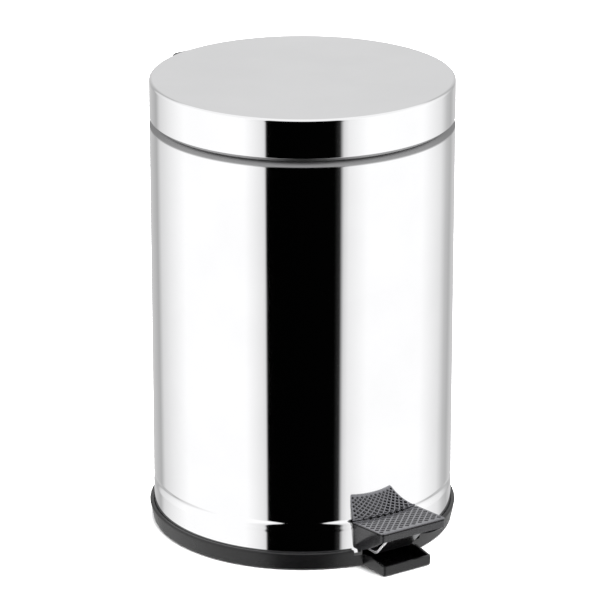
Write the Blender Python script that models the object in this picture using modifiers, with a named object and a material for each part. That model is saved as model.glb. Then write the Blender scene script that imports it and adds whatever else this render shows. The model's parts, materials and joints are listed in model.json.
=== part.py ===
"""Pedal trash can: a round steel bin whose lid is raised by a foot pedal.

Metres, +Z up. The pedal points to -Y and the lid's hinge is at +Y. Every piece is its own object.
Sizes below are in millimetres. Y is counted from the bin's own axis; the root empty then shifts
the whole bin so that the middle of its outer box stands on the origin.
"""

from math import asin, atan2, cos, degrees, pi, radians, sin, tan

import bmesh
import bpy
from mathutils import Matrix, Vector

MM = 0.001

# Driving dimensions
BODY_R = 146.5
HEIGHT = 448.5
WALL = 0.8
GAP = 0.3
SHELL_STEPS = 48

LID_SKIRT = 37.5
LID_EDGE_R = 3.0
LID_HEM = 0.5
LID_HEM_HEIGHT = 3.0

SHOULDER_GAP = 8.3
NECK_INSET = 5.0
NECK_TOP_BELOW_LID = 11.0
NECK_BEAD = 1.7
NECK_BEAD_HEIGHT = 3.0

GROOVE_Z = 43.5
GROOVE_HEIGHT = 12.0
GROOVE_DEPTH = 1.6

FOOT_PROUD = 1.0
FOOT_R = 9.0
FOOT_RING_R = BODY_R - 13.5
FOOT_SUNK = 0.7
RING_TOP = 18.0
RING_WALL = 4.2
RING_TAPER = 3.6
PAN_FLOOR = 2.5
PAN_LIP = 2.0
BODY_SUNK = 6.5
PLATE_T = 1.0
PLATE_FLANGE = 6.0

BOSS_R = 5.0
BOSS_RING_R = BODY_R - 46.5
BASE_SCREW_R = 1.5
BASE_SCREW_HEAD_R = 3.2
BASE_SCREW_HEAD = 1.4

TRAY_HALF = 27.5
TRAY_REACH = BODY_R + 33.5
TRAY_FRONT = 9.0
TRAY_WALL = 2.5

PAD_HALF = 37.0
PAD_REACH = BODY_R + 43.5
PAD_TOP_REAR = 46.5
PAD_TOP_FRONT = 50.0
PAD_FRONT = 9.4
PAD_REAR_BOTTOM = 19.8
PAD_WALL = 2.0
PAD_TOP_T = 3.5
PAD_CLEAR = 1.0
PAD_RIVET_X = 11.0

LEVER_T = 2.5
LEVER_HALF = 19.5
LEVER_TAIL_HALF = 13.0
LEVER_Z = 14.25
LEVER_REAR = BODY_R - 5.5
LEVER_KNEE = BODY_R + 8.5
LEVER_TOP = BODY_R + 36.0
LEVER_FLANGE_REAR = LEVER_TOP - 27.5
AXLE_Y = -(BODY_R - 51.5)
AXLE_Z = 20.0
AXLE_R = 3.0
SADDLE_T = 5.0
SADDLE_HALF = 7.0
CLIP_T = 1.0
CLIP_WALL = 2.0

HINGE_Y = BODY_R + 8.1
HINGE_Z = HEIGHT - LID_SKIRT + 4.0
HINGE_PIN_R = 2.5
KNUCKLE_HALF = 17.0
EAR_T = 2.5
EAR_R = 4.4
BRACKET_T = 2.0
BRACKET_HALF = 21.0
BRACKET_BOTTOM = HINGE_Z - 53.0
BRACKET_TOP = HINGE_Z - 14.0
BRACKET_SCREW_Z = (BRACKET_BOTTOM + 8.0, BRACKET_TOP - 12.0)
COVER_HALF = 50.0
COVER_REAR = BODY_R + 15.3
COVER_TOP_BELOW_LID = 7.0
COVER_BOTTOM = HINGE_Z - 6.0
COVER_WALL = 1.6
COVER_POCKET_HALF = 25.0
COVER_SCREW_AZIMUTH = 14.5
RIVET_R = 2.0
RIVET_HEAD_R = 3.6
RIVET_HEAD = 1.1
LID_RIVET_X = 10.0

ROD_R = 2.0
ROD_X = -7.0
ROD_Y = BODY_R - 11.5
ROD_BEND_R = 4.0
ROD_BOTTOM = 7.0
LID_OPEN = 70.0
CRANK_T = 3.0
CRANK_SLOT = 5.8
CRANK_RIM = 2.3
CRANK_PASS = 6.0
COLLAR_PLAY = 1.2
GUIDE_Z = 300.0
GUIDE_RIVET_X = 4.6
GUIDE_RIVET_Z = GUIDE_Z - 9.0

BUCKET_TOP_R = BODY_R - 13.5
BUCKET_BOTTOM_R = BUCKET_TOP_R - 15.0
BUCKET_WALL = 1.8
BUCKET_RIM_Z = HINGE_Z - 7.0
BUCKET_RIM_WIDE = 4.0
BUCKET_RIM_T = 2.5
BUCKET_FLAT_Y = ROD_Y - 14.5
BUCKET_FOOT = 3.0
BUCKET_FLOOR = 3.0
BUCKET_STEPS = 40

BAIL_R = 2.0
BAIL_ARC_R = BUCKET_TOP_R - 11.0
BAIL_Z = BUCKET_RIM_Z - 8.0
BAIL_LOOSE = 0.4
GRIP_R = 7.0
GRIP_HALF = 46.0

# Sizes that follow from them
BODY_IN_R = BODY_R - WALL
SKIRT_Z = HEIGHT - LID_SKIRT
SHOULDER_Z = SKIRT_Z - SHOULDER_GAP
NECK_R = BODY_R - NECK_INSET
NECK_IN_R = NECK_R - WALL
NECK_BASE_Z = SHOULDER_Z + NECK_INSET
NECK_TOP = HEIGHT - NECK_TOP_BELOW_LID
PLATE_Z = GROOVE_Z + GROOVE_HEIGHT / 2 + GAP
RING_R = BODY_R + GAP + RING_WALL
FLOOR_Z = FOOT_PROUD + PAN_FLOOR
CHANNEL_R = BODY_IN_R - GAP
BUCKET_Z = PLATE_Z + PLATE_T + GAP
ROD_ARM = HINGE_Y - ROD_Y
ROD_TOP = HINGE_Z - ROD_ARM * tan(radians(LID_OPEN / 2))
ROD_TRAVEL = 2 * ROD_ARM * tan(radians(LID_OPEN / 2))
PEDAL_TRAVEL = degrees(asin(ROD_TRAVEL / (ROD_Y - AXLE_Y)))
TREAD_TILT = atan2(PAD_TOP_FRONT - PAD_TOP_REAR, PAD_REACH - BODY_R)
COVER_TOP = HEIGHT - COVER_TOP_BELOW_LID
AXIS_Y = (PAD_REACH - COVER_REAR) / 2
FACET_GAP = BODY_R / 488

COLOURS = {
    "polished_steel": ((0.80, 0.80, 0.81, 1.0), 0.06, 1.0),
    "pressed_steel": ((0.62, 0.62, 0.63, 1.0), 0.30, 1.0),
    "black_plastic": ((0.022, 0.022, 0.024, 1.0), 0.42, 0.0),
    "bucket_plastic": ((0.055, 0.057, 0.060, 1.0), 0.48, 0.0),
    "black_rubber": ((0.015, 0.015, 0.015, 1.0), 0.80, 0.0),
}


def clear_scene():
    for obj in list(bpy.data.objects):
        bpy.data.objects.remove(obj, do_unlink=True)


def new_collection(name):
    collection = bpy.data.collections.new(name)
    bpy.context.scene.collection.children.link(collection)
    return collection


def new_material(finish, piece):
    colour, roughness, metallic = COLOURS[finish]
    material = bpy.data.materials.new(f"{piece}_{finish}")
    material.use_nodes = True
    shader = material.node_tree.nodes["Principled BSDF"]
    shader.inputs["Base Color"].default_value = colour
    shader.inputs["Roughness"].default_value = roughness
    shader.inputs["Metallic"].default_value = metallic
    return material


clear_scene()
PARTS = new_collection("pedal_trash_can")
CUTTERS = new_collection("cutters")


def joint_empty(name, y=0.0, z=0.0, parent=None):
    """An empty on a joint's axis; what hangs under it is still modelled in the bin's own coordinates."""
    empty = bpy.data.objects.new(name, None)
    PARTS.objects.link(empty)
    empty["at"] = (0.0, y, z)
    empty.location = Vector((0.0, y, z)) * MM
    if parent:
        empty.parent = parent
        empty.location -= Vector(parent["at"]) * MM
    return empty


ROOT = joint_empty("bin_frame")
ROOT.location.y = AXIS_Y * MM
LID_AXIS = joint_empty("lid_axis", HINGE_Y, HINGE_Z, ROOT)
PEDAL_AXIS = joint_empty("pedal_axis", AXLE_Y, AXLE_Z, ROOT)
ROD_AXIS = joint_empty("rod_axis", ROD_Y, 0.0, ROOT)
BUCKET_AXIS = joint_empty("bucket_axis", 0.0, BUCKET_Z, ROOT)
BAIL_AXIS = joint_empty("bail_axis", 0.0, BAIL_Z, BUCKET_AXIS)


def piece(name, mesh, finish, parent):
    obj = bpy.data.objects.new(name, mesh)
    PARTS.objects.link(obj)
    obj.parent = parent
    obj.matrix_parent_inverse = Matrix.Translation(-Vector(parent["at"]) * MM)
    mesh.materials.append(new_material(finish, name))
    mesh.shade_smooth()
    mesh.set_sharp_from_angle(angle=radians(35))
    return obj


def cutter(name, mesh):
    """A hidden shape that a Boolean reads. It stands under the root, in the bin's own coordinates."""
    obj = bpy.data.objects.new(name, mesh)
    CUTTERS.objects.link(obj)
    obj.parent = ROOT
    obj.hide_render = True
    obj.display_type = "WIRE"
    return obj


def boolean(obj, mesh, operation, label):
    other = cutter(f"{obj.name}_{label}", mesh)
    modifier = obj.modifiers.new(label, "BOOLEAN")
    modifier.operation = operation
    modifier.object = other
    return other


def cut(obj, mesh, label):
    return boolean(obj, mesh, "DIFFERENCE", label)


def join(obj, mesh, label):
    return boolean(obj, mesh, "UNION", label)


def box(low, high):
    mesh = bpy.data.meshes.new("box")
    shape = bmesh.new()
    size = Vector(high) - Vector(low)
    middle = (Vector(high) + Vector(low)) / 2 * MM
    matrix = Matrix.Translation(middle) @ Matrix.Diagonal((*(size * MM), 1.0))
    bmesh.ops.create_cube(shape, size=1.0, matrix=matrix)
    shape.to_mesh(mesh)
    shape.free()
    return mesh


def cone(start, end, radius_start, radius_end, segments=16):
    """A round bar or a cone from start to end, closed at both ends."""
    mesh = bpy.data.meshes.new("cone")
    shape = bmesh.new()
    start, end = Vector(start) * MM, Vector(end) * MM
    turn = (end - start).normalized().to_track_quat("Z", "Y").to_matrix().to_4x4()
    bmesh.ops.create_cone(
        shape,
        cap_ends=True,
        segments=segments,
        radius1=radius_start * MM,
        radius2=radius_end * MM,
        depth=(end - start).length,
        matrix=Matrix.Translation((start + end) / 2) @ turn,
    )
    shape.to_mesh(mesh)
    shape.free()
    return mesh


def rod(start, end, radius, segments=16):
    return cone(start, end, radius, radius, segments)


def joined(*meshes):
    """Several loose shapes in one mesh, for a Boolean that cuts them all."""
    shape = bmesh.new()
    for mesh in meshes:
        shape.from_mesh(mesh)
    whole = bpy.data.meshes.new("shapes")
    shape.to_mesh(whole)
    shape.free()
    return whole


def plate(outline, thickness, axis="X", at=0.0, holes=()):
    """A flat outline with holes, made thick along an axis. On X it is given as (y, z), on Z as (x, y)."""
    curve = bpy.data.curves.new("outline", "CURVE")
    curve.dimensions = "2D"
    curve.fill_mode = "BOTH"
    curve.extrude = thickness / 2 * MM
    for ring in (outline, *holes):
        spline = curve.splines.new("POLY")
        spline.points.add(len(ring) - 1)
        for point, (u, v) in zip(spline.points, ring):
            point.co = (u * MM, v * MM, 0.0, 1.0)
        spline.use_cyclic_u = True
    obj = bpy.data.objects.new("outline", curve)
    CUTTERS.objects.link(obj)
    graph = bpy.context.evaluated_depsgraph_get()
    mesh = bpy.data.meshes.new_from_object(obj.evaluated_get(graph))
    bpy.data.objects.remove(obj)
    if axis == "X":
        mesh.transform(Matrix(((0, 0, 1, at * MM), (1, 0, 0, 0), (0, 1, 0, 0), (0, 0, 0, 1))))
    else:
        mesh.transform(Matrix.Translation((0, 0, at * MM)))
    weld(mesh)
    return mesh


def weld(mesh):
    shape = bmesh.new()
    shape.from_mesh(mesh)
    bmesh.ops.remove_doubles(shape, verts=shape.verts, dist=1e-6)
    bmesh.ops.recalc_face_normals(shape, faces=shape.faces)
    shape.to_mesh(mesh)
    shape.free()


def wire(points, radius):
    """A round wire along points, its ends capped, as a mesh."""
    curve = bpy.data.curves.new("wire", "CURVE")
    curve.dimensions = "3D"
    curve.bevel_depth = radius * MM
    curve.bevel_resolution = 2
    curve.use_fill_caps = True
    spline = curve.splines.new("POLY")
    spline.points.add(len(points) - 1)
    for point, place in zip(spline.points, points):
        point.co = (*(Vector(place) * MM), 1.0)
    obj = bpy.data.objects.new("wire", curve)
    CUTTERS.objects.link(obj)
    graph = bpy.context.evaluated_depsgraph_get()
    mesh = bpy.data.meshes.new_from_object(obj.evaluated_get(graph))
    bpy.data.objects.remove(obj)
    weld(mesh)
    return mesh


def profile(points, closed):
    """A turned shape's section in the XZ plane: down the outer side, top to bottom."""
    mesh = bpy.data.meshes.new("profile")
    edges = [(i, i + 1) for i in range(len(points) - 1)]
    if closed:
        edges.append((len(points) - 1, 0))
    mesh.from_pydata([(r * MM, 0.0, z * MM) for r, z in points], edges, [])
    return mesh


def turn(obj, steps=SHELL_STEPS):
    screw = obj.modifiers.new("turn", "SCREW")
    screw.steps = steps
    screw.render_steps = steps
    screw.use_merge_vertices = True
    screw.merge_threshold = 0.0001
    return obj


def turned(name, points, finish, parent, steps=SHELL_STEPS):
    """A turned piece. A section that starts on the axis is open, any other closes on itself."""
    return turn(piece(name, profile(points, points[0][0] > 0), finish, parent), steps)


def washer(name, inner, outer, start, end, finish, parent):
    """A flat ring along any axis."""
    obj = piece(name, rod(start, end, outer), finish, parent)
    along = (Vector(end) - Vector(start)).normalized()
    cut(obj, rod(Vector(start) - along, Vector(end) + along, inner), "bore")
    return obj


def headed_pin(name, start, end, radius, head_radius, head, finish, parent):
    """A rivet or screw: its head lies before start, and its shank runs to end."""
    along = (Vector(end) - Vector(start)).normalized()
    obj = piece(name, rod(Vector(start) - along * head, start, head_radius), finish, parent)
    join(obj, rod(Vector(start) - along * head / 2, end, radius), "shank")
    return obj


def arc(middle_y, middle_z, radius, start, end, count):
    """Points on a round stretch, from one angle to another in degrees."""
    turns = [radians(start + (end - start) * i / count) for i in range(count + 1)]
    return [(middle_y + radius * cos(a), middle_z + radius * sin(a)) for a in turns]


def capsule(first, second, radius, count=8):
    """The outline of a slot whose round ends lie on two points."""
    angle = degrees(atan2(second[1] - first[1], second[0] - first[0]))
    far = arc(*second, radius, angle - 90, angle + 90, count)
    near = arc(*first, radius, angle + 90, angle + 270, count)
    return far + near


def groove_point(t, wall):
    """A point on the round inward groove, with t from 1 at its top to -1 at its foot."""
    inset = GROOVE_DEPTH * (0.5 + 0.5 * cos(pi * t))
    return (BODY_R - wall - inset, GROOVE_Z + GROOVE_HEIGHT / 2 * t)


def body_shell():
    bead = NECK_BEAD_HEIGHT / 4
    groove = [1.0, 0.5, 0.15, -0.15, -0.5, -1.0]
    outer = [
        (NECK_R + NECK_BEAD - bead, NECK_TOP),
        (NECK_R + NECK_BEAD, NECK_TOP - bead),
        (NECK_R + NECK_BEAD, NECK_TOP - 3 * bead),
        (NECK_R + NECK_BEAD - bead, NECK_TOP - 4 * bead),
        (NECK_R, NECK_TOP - 4 * bead),
        (NECK_R, NECK_BASE_Z),
        (BODY_R, SHOULDER_Z),
        *(groove_point(t, 0.0) for t in groove),
        (BODY_R, BODY_SUNK),
    ]
    inner = [
        (BODY_IN_R, BODY_SUNK),
        *(groove_point(t, WALL) for t in reversed(groove)),
        (BODY_IN_R, SHOULDER_Z - WALL / 2),
        (NECK_IN_R, NECK_BASE_Z - WALL / 2),
        (NECK_IN_R, NECK_TOP),
    ]
    obj = turned("body_shell", outer + inner, "polished_steel", ROOT)
    crank_way = box(
        (-CRANK_PASS, NECK_IN_R - 10, SHOULDER_Z - NECK_INSET),
        (CRANK_PASS, BODY_R + 10, NECK_TOP + 1),
    )
    lever_way = box(
        (-TRAY_HALF - 2 * GAP, -BODY_R - 10, 0),
        (TRAY_HALF + 2 * GAP, -BODY_IN_R + 10, RING_TOP - 0.5),
    )
    screws = [
        rod((0, BODY_IN_R - 5, z), (0, BODY_R + 5, z), RIVET_R + GAP) for z in BRACKET_SCREW_Z
    ]
    x, z = GUIDE_RIVET_X, GUIDE_RIVET_Z
    guide = rod((x, BODY_IN_R - 5, z), (x, BODY_R + 5, z), RIVET_R + GAP)
    cut(obj, crank_way, "crank_way")
    cut(obj, lever_way, "lever_way")
    cut(obj, joined(*screws, guide), "holes")


def bottom_plate():
    rim = BODY_IN_R - 0.5
    points = [
        (0, PLATE_Z + PLATE_T),
        (rim - PLATE_T, PLATE_Z + PLATE_T),
        (rim - PLATE_T, PLATE_Z + PLATE_FLANGE),
        (rim, PLATE_Z + PLATE_FLANGE),
        (rim, PLATE_Z),
        (0, PLATE_Z),
    ]
    obj = turned("bottom_plate", points, "pressed_steel", ROOT)
    holes = [rod((ROD_X, ROD_Y, PLATE_Z - 2), (ROD_X, ROD_Y, PLATE_Z + 4), ROD_R + 1.5)]
    holes += [
        rod((x, y, PLATE_Z - 2), (x, y, PLATE_Z + 4), BASE_SCREW_R + GAP)
        for x, y in round_the_axis(BOSS_RING_R)
    ]
    cut(obj, joined(*holes), "holes")


def round_the_axis(radius):
    """Four places on the diagonals."""
    return [(radius * cos(radians(a)), radius * sin(radians(a))) for a in (45, 135, 225, 315)]


def base_pan():
    corner = RING_WALL / 3
    low_r = RING_R - RING_TAPER
    points = [
        (0, FLOOR_Z),
        (CHANNEL_R - PAN_LIP, FLOOR_Z),
        (CHANNEL_R - PAN_LIP, RING_TOP - 2),
        (CHANNEL_R, RING_TOP - 2),
        (CHANNEL_R, BODY_SUNK - GAP),
        (BODY_R + GAP, BODY_SUNK - GAP),
        (BODY_R + GAP, RING_TOP),
        (RING_R - corner, RING_TOP),
        (RING_R - corner / 3, RING_TOP - corner / 3),
        (RING_R, RING_TOP - corner),
        (low_r, FOOT_PROUD + 0.8),
        (low_r - 0.8, FOOT_PROUD),
        (0, FOOT_PROUD),
    ]
    obj = turned("base_pan", points, "black_plastic", ROOT)
    tray_top = FOOT_PROUD + TRAY_FRONT
    tray = [
        (-CHANNEL_R + 10, FOOT_PROUD),
        (-TRAY_REACH + 1, FOOT_PROUD),
        (-TRAY_REACH, FOOT_PROUD + 1),
        (-TRAY_REACH, tray_top),
        (-TRAY_REACH + TRAY_WALL, tray_top),
        (-RING_R, PAD_REAR_BOTTOM - 6),
        (-CHANNEL_R + 10, PAD_REAR_BOTTOM - 6),
    ]
    join(obj, plate(tray, 2 * TRAY_HALF), "tray")
    well = [
        (-CHANNEL_R + 20, FLOOR_Z),
        (-TRAY_REACH + TRAY_WALL, FLOOR_Z),
        (-TRAY_REACH + TRAY_WALL, RING_TOP + 5),
        (-CHANNEL_R + 20, RING_TOP + 5),
    ]
    cut(obj, plate(well, 2 * (TRAY_HALF - TRAY_WALL)), "well")
    pad_way = box(
        (-PAD_HALF - 1.5, -RING_R - 5, PAD_REAR_BOTTOM - 7.2),
        (PAD_HALF + 1.5, -CHANNEL_R + 15, RING_TOP + 5),
    )
    cut(obj, pad_way, "pad_way")
    saddle_x = LEVER_HALF + 3
    for side, name in ((-1, "left"), (1, "right")):
        near, far = sorted((side * saddle_x, side * (saddle_x + SADDLE_T)))
        saddle = box(
            (near, AXLE_Y - SADDLE_HALF, FLOOR_Z - 1),
            (far, AXLE_Y + SADDLE_HALF, AXLE_Z + SADDLE_HALF),
        )
        join(obj, saddle, f"saddle_{name}")
    wide = saddle_x + SADDLE_T + 3
    cut(obj, rod((-wide, AXLE_Y, AXLE_Z), (wide, AXLE_Y, AXLE_Z), AXLE_R + GAP), "axle_bore")
    places = round_the_axis(BOSS_RING_R)
    bosses = [rod((x, y, FLOOR_Z - 1), (x, y, PLATE_Z - GAP), BOSS_R, 16) for x, y in places]
    join(obj, joined(*bosses), "bosses")
    bores = [rod((x, y, 0), (x, y, PLATE_Z + 2), BASE_SCREW_R + GAP, 12) for x, y in places]
    heads = [
        rod((x, y, 0), (x, y, FOOT_PROUD + BASE_SCREW_HEAD + GAP), BASE_SCREW_HEAD_R + GAP, 16)
        for x, y in places
    ]
    cut(obj, joined(*bores), "screw_bores")
    cut(obj, joined(*heads), "screw_heads")
    pads = [
        rod((x, y, 0), (x, y, FOOT_PROUD + FOOT_SUNK + GAP), FOOT_R + GAP)
        for x, y in round_the_axis(FOOT_RING_R)
    ]
    cut(obj, joined(*pads), "foot_seats")


def base_fixings():
    for number, (x, y) in enumerate(round_the_axis(BOSS_RING_R), 1):
        head = FOOT_PROUD + BASE_SCREW_HEAD
        headed_pin(
            f"base_screw_{number}",
            (x, y, head),
            (x, y, BUCKET_Z + BUCKET_FOOT - 1),
            BASE_SCREW_R,
            BASE_SCREW_HEAD_R,
            BASE_SCREW_HEAD,
            "pressed_steel",
            ROOT,
        )
    for number, (x, y) in enumerate(round_the_axis(FOOT_RING_R), 1):
        mesh = cone((x, y, 0), (x, y, FOOT_PROUD + FOOT_SUNK), FOOT_R - 0.8, FOOT_R)
        piece(f"foot_{number}", mesh, "black_rubber", ROOT)


def tread_z(reach):
    """The height of the tread's top face at a distance in front of the bin's axis."""
    return PAD_TOP_FRONT - (PAD_REACH - reach) * tan(TREAD_TILT)


def pad_rivet_line(x, start, end):
    """Two points on the line of a rivet that stands square to the tread, by their depth under it."""
    reach = (LEVER_TOP + LEVER_FLANGE_REAR) / 2
    top = Vector((x, -reach, tread_z(reach)))
    down = Vector((0.0, -sin(TREAD_TILT), -cos(TREAD_TILT)))
    return top + down * start, top + down * end


def pedal():
    rear = NECK_R - 10
    outline = [
        (-rear, tread_z(rear)),
        (-rear, PAD_REAR_BOTTOM),
        (-BODY_R - 2, PAD_REAR_BOTTOM + 0.4),
        (-BODY_R - 11, PAD_REAR_BOTTOM + 3.4),
        (-BODY_R - 20, PAD_REAR_BOTTOM + 8.4),
        (-PAD_REACH + 11, PAD_TOP_FRONT - PAD_FRONT - 5.0),
        (-PAD_REACH + 0.6, PAD_TOP_FRONT - PAD_FRONT),
        (-PAD_REACH, PAD_TOP_FRONT - PAD_FRONT + 0.6),
        (-PAD_REACH, PAD_TOP_FRONT - 0.8),
        (-PAD_REACH + 0.8, tread_z(PAD_REACH - 0.8)),
    ]
    pad = piece("pedal_pad", plate(outline, 2 * PAD_HALF), "black_plastic", PEDAL_AXIS)
    front = PAD_REACH - PAD_WALL
    hollow = [
        (-rear + 10, tread_z(rear - 10) - PAD_TOP_T),
        (-rear + 10, 0),
        (-front, 0),
        (-front, tread_z(front) - PAD_TOP_T),
    ]
    cut(pad, plate(hollow, 2 * (PAD_HALF - PAD_WALL)), "hollow")
    lip_t = 2 * (tread_z(BODY_R) - PAD_TOP_T - GROOVE_Z) / GROOVE_HEIGHT
    lip = [groove_point(t, -PAD_CLEAR) for t in (1.0, 0.5, 0.15, lip_t)]
    way_r = BODY_R + PAD_CLEAR
    body_way = [(0, HEIGHT), (way_r, HEIGHT), *lip, (way_r, lip[-1][1]), (way_r, 0), (0, 0)]
    turn(cut(pad, profile(body_way, False), "body_way"), 2 * SHELL_STEPS)
    shank = 2 * GAP + LEVER_T + PAD_TOP_T
    for number, x in enumerate((-PAD_RIVET_X, PAD_RIVET_X), 1):
        seat = pad_rivet_line(x, shank, PAD_TOP_T / 2 - GAP)
        cut(pad, rod(*seat, RIVET_R + GAP, 12), f"rivet_seat_{number}")
        headed_pin(
            f"pad_rivet_{number}",
            *pad_rivet_line(x, shank, PAD_TOP_T / 2),
            RIVET_R,
            RIVET_HEAD_R,
            RIVET_HEAD,
            "pressed_steel",
            PEDAL_AXIS,
        )
    lever(shank)


def strip_outline(centre, thickness):
    """Both sides of a bent strip, from the middle line of its section."""
    sides = ([], [])
    for i, (y, z) in enumerate(centre):
        before = Vector(centre[max(i - 1, 0)])
        after = Vector(centre[min(i + 1, len(centre) - 1)])
        here = Vector((y, z))
        into = (here - before).normalized() if i else (after - here).normalized()
        out = (after - here).normalized() if i < len(centre) - 1 else into
        normal = Vector((-into.y - out.y, into.x + out.x)).normalized()
        reach = thickness / 2 / max(normal.dot(Vector((-into.y, into.x))), 0.5)
        sides[0].append(tuple(here + normal * reach))
        sides[1].append(tuple(here - normal * reach))
    return sides[0] + sides[1][::-1]


def lever(rivet_depth):
    flange = PAD_TOP_T + GAP + LEVER_T / 2
    centre = [
        (-LEVER_FLANGE_REAR, tread_z(LEVER_FLANGE_REAR) - flange),
        (-LEVER_TOP + 3, tread_z(LEVER_TOP - 3) - flange),
        (-LEVER_TOP, tread_z(LEVER_TOP) - flange - 2.2),
        (-LEVER_KNEE - 3, LEVER_Z + 3),
        (-LEVER_KNEE + 2, LEVER_Z),
        (LEVER_REAR, LEVER_Z),
    ]
    strip = plate(strip_outline(centre, LEVER_T), 2 * LEVER_HALF)
    obj = piece("pedal_lever", strip, "pressed_steel", PEDAL_AXIS)
    for side, name in ((-1, "left"), (1, "right")):
        near, far = sorted((side * (LEVER_HALF - 2), side * LEVER_HALF))
        ear = box(
            (near, AXLE_Y - SADDLE_HALF, LEVER_Z),
            (far, AXLE_Y + SADDLE_HALF, AXLE_Z + SADDLE_HALF - 1),
        )
        join(obj, ear, f"ear_{name}")
        taper = [
            (side * LEVER_HALF, AXLE_Y + 15),
            (side * LEVER_TAIL_HALF, AXLE_Y + 60),
            (side * LEVER_TAIL_HALF, LEVER_REAR + 5),
            (side * (LEVER_HALF + 5), LEVER_REAR + 5),
            (side * (LEVER_HALF + 5), AXLE_Y + 15),
        ]
        cut(obj, plate(taper, 20, "Z", LEVER_Z), f"taper_{name}")
    wide = LEVER_HALF + 5
    cut(obj, rod((-wide, AXLE_Y, AXLE_Z), (wide, AXLE_Y, AXLE_Z), AXLE_R + GAP), "axle_bore")
    slide = (ROD_Y - AXLE_Y) * (1 - cos(radians(PEDAL_TRAVEL)))
    slot = [(x + ROD_X, y) for x, y in capsule((0, ROD_Y), (0, ROD_Y + slide), ROD_R + 0.5)]
    cut(obj, plate(slot, 20, "Z", LEVER_Z), "rod_slot")
    for number, x in enumerate((-PAD_RIVET_X, PAD_RIVET_X), 1):
        line = pad_rivet_line(x, rivet_depth + 2, PAD_TOP_T)
        cut(obj, rod(*line, RIVET_R + GAP, 12), f"rivet_hole_{number}")


def pedal_axle():
    outer = LEVER_HALF + 3 + SADDLE_T
    tip = outer + GAP + CLIP_T + 1.5
    axle = rod((-tip, AXLE_Y, AXLE_Z), (tip, AXLE_Y, AXLE_Z), AXLE_R)
    piece("pedal_axle", axle, "pressed_steel", ROOT)
    for side, name in ((-1, "left"), (1, "right")):
        start = (side * (outer + GAP), AXLE_Y, AXLE_Z)
        end = (side * (outer + GAP + CLIP_T), AXLE_Y, AXLE_Z)
        bore = AXLE_R + GAP
        washer(f"axle_clip_{name}", bore, bore + CLIP_WALL, start, end, "pressed_steel", ROOT)


def push_rod():
    bend = [
        (ROD_X + ROD_BEND_R * (1 - cos(a)), ROD_Y, ROD_TOP - ROD_BEND_R * (1 - sin(a)))
        for a in (0, pi / 6, pi / 3, pi / 2)
    ]
    tip = CRANK_T / 2 + GAP + CLIP_T + 2
    points = [(ROD_X, ROD_Y, ROD_BOTTOM), *bend, (tip, ROD_Y, ROD_TOP)]
    piece("push_rod", wire(points, ROD_R), "pressed_steel", ROD_AXIS)
    lever_top = LEVER_Z + LEVER_T / 2 + COLLAR_PLAY
    washer(
        "rod_collar", ROD_R + GAP, ROD_R + 3.5,
        (ROD_X, ROD_Y, lever_top), (ROD_X, ROD_Y, lever_top + 2.8), "pressed_steel", ROD_AXIS,
    )
    start = CRANK_T / 2 + GAP + 0.7
    washer(
        "rod_clip", ROD_R + GAP, ROD_R + GAP + CLIP_WALL,
        (start, ROD_Y, ROD_TOP), (start + CLIP_T, ROD_Y, ROD_TOP), "pressed_steel", ROD_AXIS,
    )


def rod_guide():
    """An angle bracket inside the rear wall that keeps the rod upright."""
    back = (BODY_IN_R**2 - 12**2) ** 0.5 - 0.5
    leaf = box((-12, back - 1.5, GUIDE_Z - 16), (12, back, GUIDE_Z + 1.5))
    obj = piece("rod_guide", leaf, "pressed_steel", ROOT)
    join(obj, box((-12, ROD_Y - 6, GUIDE_Z), (12, back - 0.5, GUIDE_Z + 1.5)), "shelf")
    cut(obj, rod((ROD_X, ROD_Y, GUIDE_Z - 5), (ROD_X, ROD_Y, GUIDE_Z + 5), ROD_R + 0.4), "rod_bore")
    x, z = GUIDE_RIVET_X, GUIDE_RIVET_Z
    cut(obj, rod((x, back - 5, z), (x, back + 5, z), RIVET_R + GAP), "rivet_hole")
    headed_pin(
        "guide_rivet", (x, BODY_R + GAP, z), (x, back - 2, z),
        RIVET_R, RIVET_HEAD_R, RIVET_HEAD, "polished_steel", ROOT,
    )


def hinge_bracket():
    near = BODY_R + GAP
    obj = piece(
        "hinge_bracket",
        box((-BRACKET_HALF, near, BRACKET_BOTTOM), (BRACKET_HALF, near + BRACKET_T, BRACKET_TOP)),
        "pressed_steel",
        ROOT,
    )
    ear = [
        (near + 0.2, BRACKET_TOP - 26),
        (near + BRACKET_T + 2, BRACKET_TOP - 26),
        (HINGE_Y + 0.5, BRACKET_TOP - 2),
        *arc(HINGE_Y, HINGE_Z, EAR_R, -20, 200, 10),
        (near + 0.2, BRACKET_TOP - 1),
    ]
    hole = arc(HINGE_Y, HINGE_Z, HINGE_PIN_R + GAP, 0, 337.5, 15)
    for side, name in ((-1, "left"), (1, "right")):
        middle = side * (KNUCKLE_HALF + 1 + EAR_T / 2)
        join(obj, plate(ear, EAR_T, "X", middle, [hole]), f"ear_{name}")
    holes = [rod((0, near - 5, z), (0, near + 5, z), RIVET_R + GAP) for z in BRACKET_SCREW_Z]
    cut(obj, joined(*holes), "screw_holes")
    for number, z in enumerate(BRACKET_SCREW_Z, 1):
        headed_pin(
            f"bracket_screw_{number}", (0, near + BRACKET_T + GAP, z), (0, BODY_IN_R - 5, z),
            RIVET_R, RIVET_HEAD_R, 1.8, "pressed_steel", ROOT,
        )
        inside = BODY_IN_R - GAP
        hexagon = rod((0, inside - 3, z), (0, inside, z), 4.0, 6)
        nut = piece(f"bracket_nut_{number}", hexagon, "pressed_steel", ROOT)
        cut(nut, rod((0, inside - 5, z), (0, inside + 2, z), RIVET_R + GAP, 12), "thread")


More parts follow.
